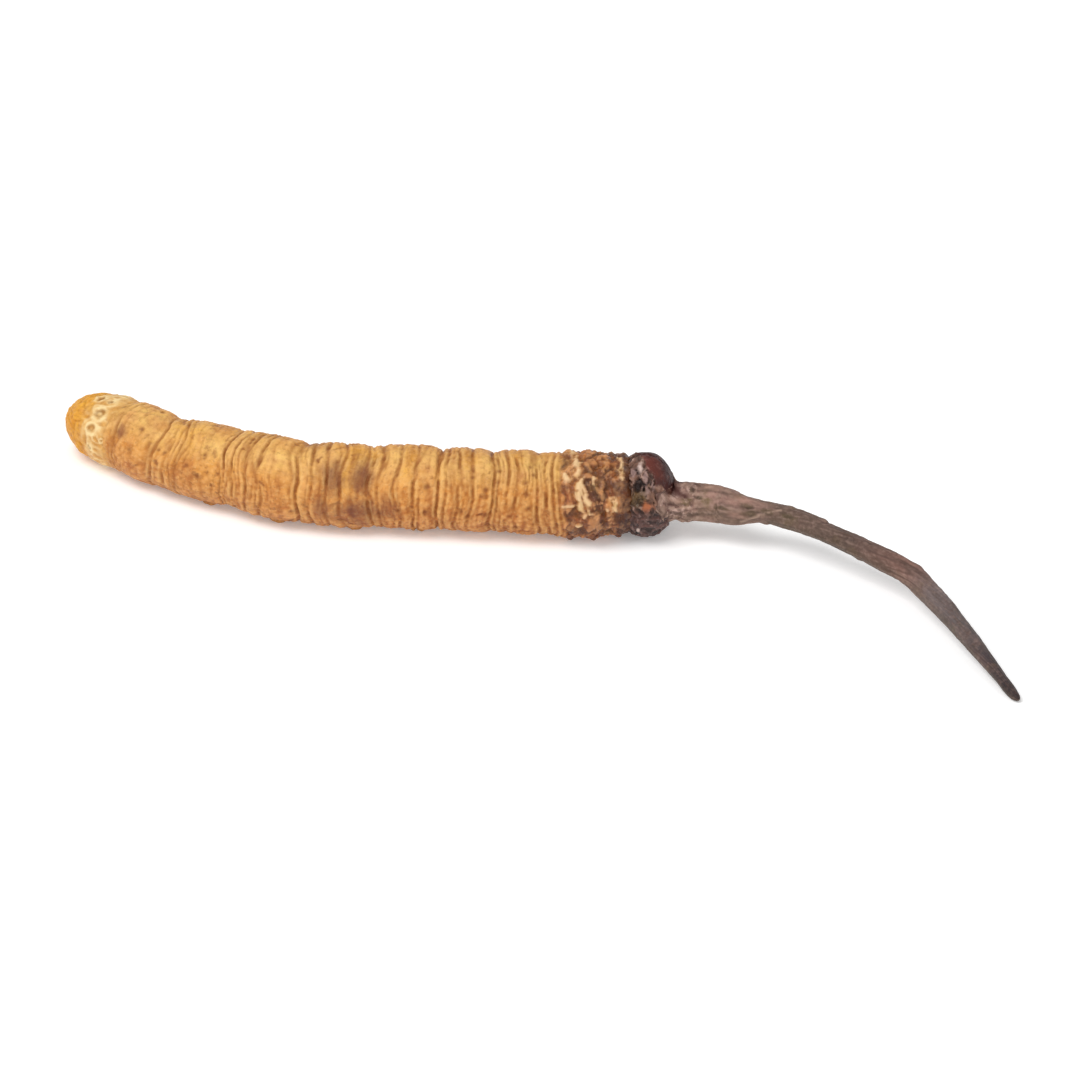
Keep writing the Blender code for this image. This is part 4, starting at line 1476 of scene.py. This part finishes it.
def leg_material():
    """Shiny brown horn, darker at the joints and towards the claws."""
    shade = Shade("brown_horn")
    place = shade.attribute("unrolled", "Vector")
    cloud = shade.clouds(place, 2.0, (0.35, 0.65), 4.0, 0.6)
    colour = shade.layers(
        shade.mix(cloud, (112, 64, 40), (168, 108, 68)),
        ("share", 0.4, (92, 50, 34)),
        ("joint", 0.6, (58, 30, 22)),
    )
    roughness = shade.range(cloud, 0.0, 1.0, 0.28, 0.42)
    shade.set(Base_Color=colour, Roughness=roughness, Specular_IOR_Level=0.4)
    shade.bump(shade.noise(place, 5.0, 4.0, 0.6), 0.5, 0.00005)
    return shade.material


def stalk_material():
    """Matt fungus bark: specked and pinkish at the head, brown-grey further on, dark at the tip."""
    shade = Shade("grey_brown_bark")
    place = shade.attribute("unrolled", "Vector")
    drawn = shade.stretched(place, (0.45, 1.0, 1.0))
    streaks = shade.clouds(shade.attribute("fibre", "Vector"), 2.4, (0.36, 0.70), 5.0, 0.6)
    base = shade.range(shade.attribute("along"), 0.12, 0.32, 1.0, 0.0)
    blotch = shade.faded(shade.clouds(drawn, 1.0, (0.46, 0.66), 4.0), base, 0.14, 0.70)
    olive = shade.faded(shade.clouds(place, 0.9, (0.56, 0.68)), base, 0.20, 0.70)
    rough = shade.attribute("spread")
    speck = shade.faded(shade.clouds(place, 3.0, (0.52, 0.64), 4.0, 0.65), rough, 0.09, 0.85)
    pore = shade.faded(shade.clouds(place, 2.3, (0.53, 0.63), 3.0, 0.6), rough, 0.22, 0.85)
    colour = shade.layers(
        shade.ramp(shade.attribute("along"), BARK_BY_LENGTH),
        (streaks, 0.58, (80, 61, 53)),
        (blotch, 1.0, (182, 142, 130)),
        ("pink_spot", 0.60, (184, 140, 126)),
        (shade.clouds(drawn, 1.5, (0.50, 0.68), 4.0, 0.6), 0.55, (78, 60, 50)),
        # Darker and more olive underneath: partly the bark's colour and partly painted shade.
        ("lower", 0.36, (88, 76, 58)),
        ("dark_spot", 0.65, (84, 70, 44)),
        (olive, 1.0, (108, 90, 56)),
        (speck, 1.0, (214, 178, 164)),
        (pore, 1.0, (86, 56, 50)),
        # Painted highlights on the crests, and further down painted shade in the furrows and hollows.
        ("crest", 0.46, (184, 154, 138)),
        ("pinch", 0.28, (170, 142, 124)),
        ("furrow", 0.34, (62, 46, 41)),
        ("hollow", 0.48, (50, 38, 35)),
        ("tongue", 0.85, (74, 38, 34)),
    )
    shade.set(Base_Color=colour, Roughness=0.66, Specular_IOR_Level=0.25)
    shade.bump(shade.noise(place, 6.0, 5.0, 0.65), 0.6, 0.00008)
    return shade.material


def floor_material():
    """Smooth pale studio paper."""
    shade = Shade("studio_paper")
    coordinates = shade.node("TexCoord", "Object", {})
    grain = shade.noise(coordinates, 900.0, 2.0)
    colour = shade.mix(shade.times(grain, 0.03), (250, 250, 250), (240, 240, 240))
    shade.set(Base_Color=colour, Roughness=0.9, Specular_IOR_Level=0.1)
    shade.set(Emission_Color=(1.0, 1.0, 1.0, 1.0), Emission_Strength=0.20)
    return shade.material


def make_floor():
    """A large level floor at the height that the larva rests on."""
    bpy.ops.mesh.primitive_plane_add(size=1.6, location=(0, 0, 0))
    floor = bpy.context.object
    floor.name = "studio_floor"
    floor.data.materials.append(floor_material())


def add_aimed(name, data, place, target):
    """A light or a camera at a place, turned towards a target."""
    made = bpy.data.objects.new(name, data)
    made.location = place
    made.rotation_euler = (Vector(target) - made.location).to_track_quat("-Z", "Y").to_euler()
    bpy.context.scene.collection.objects.link(made)
    return made


def make_lights():
    """A wide soft light from the upper left, a weak one from the right, and a white room."""
    for name, place, size, power in LIGHTS:
        data = bpy.data.lights.new(name, "AREA")
        data.size = size
        data.energy = power
        add_aimed(name, data, place, LIGHT_TARGET)
    world = bpy.data.worlds.new("white_room")
    world.use_nodes = True
    background = world.node_tree.nodes["Background"]
    background.inputs["Color"].default_value = (1.0, 1.0, 1.0, 1.0)
    background.inputs["Strength"].default_value = ROOM_STRENGTH
    bpy.context.scene.world = world


def make_camera():
    """A long lens that looks along +Y from 30 degrees above the surface, as in the photo."""
    elevation = math.radians(CAMERA_ELEVATION)
    away = Vector((0, -math.cos(elevation), math.sin(elevation))) * CAMERA_REACH
    data = bpy.data.cameras.new("camera")
    data.sensor_width = 36.0
    data.lens = data.sensor_width * CAMERA_REACH / CAMERA_FIELD
    data.clip_start = 0.02
    data.clip_end = 5.0
    camera = add_aimed("camera", data, Vector(CAMERA_TARGET) + away, CAMERA_TARGET)
    bpy.context.scene.camera = camera


def main():
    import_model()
    for piece, node, slot in (
        (make_body(skin_material()), "larva_body", "dry_skin"),
        (make_legs(leg_material()), "larva_body", "head_shell"),
        (make_head(head_material()), "head", "head_shell"),
        (make_stalk(stalk_material()), "stalk", "stalk_bark"),
    ):
        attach(piece, "root")
        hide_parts(node)
    make_floor()
    make_lights()
    make_camera()
    bpy.context.scene.view_settings.view_transform = "Standard"


main()
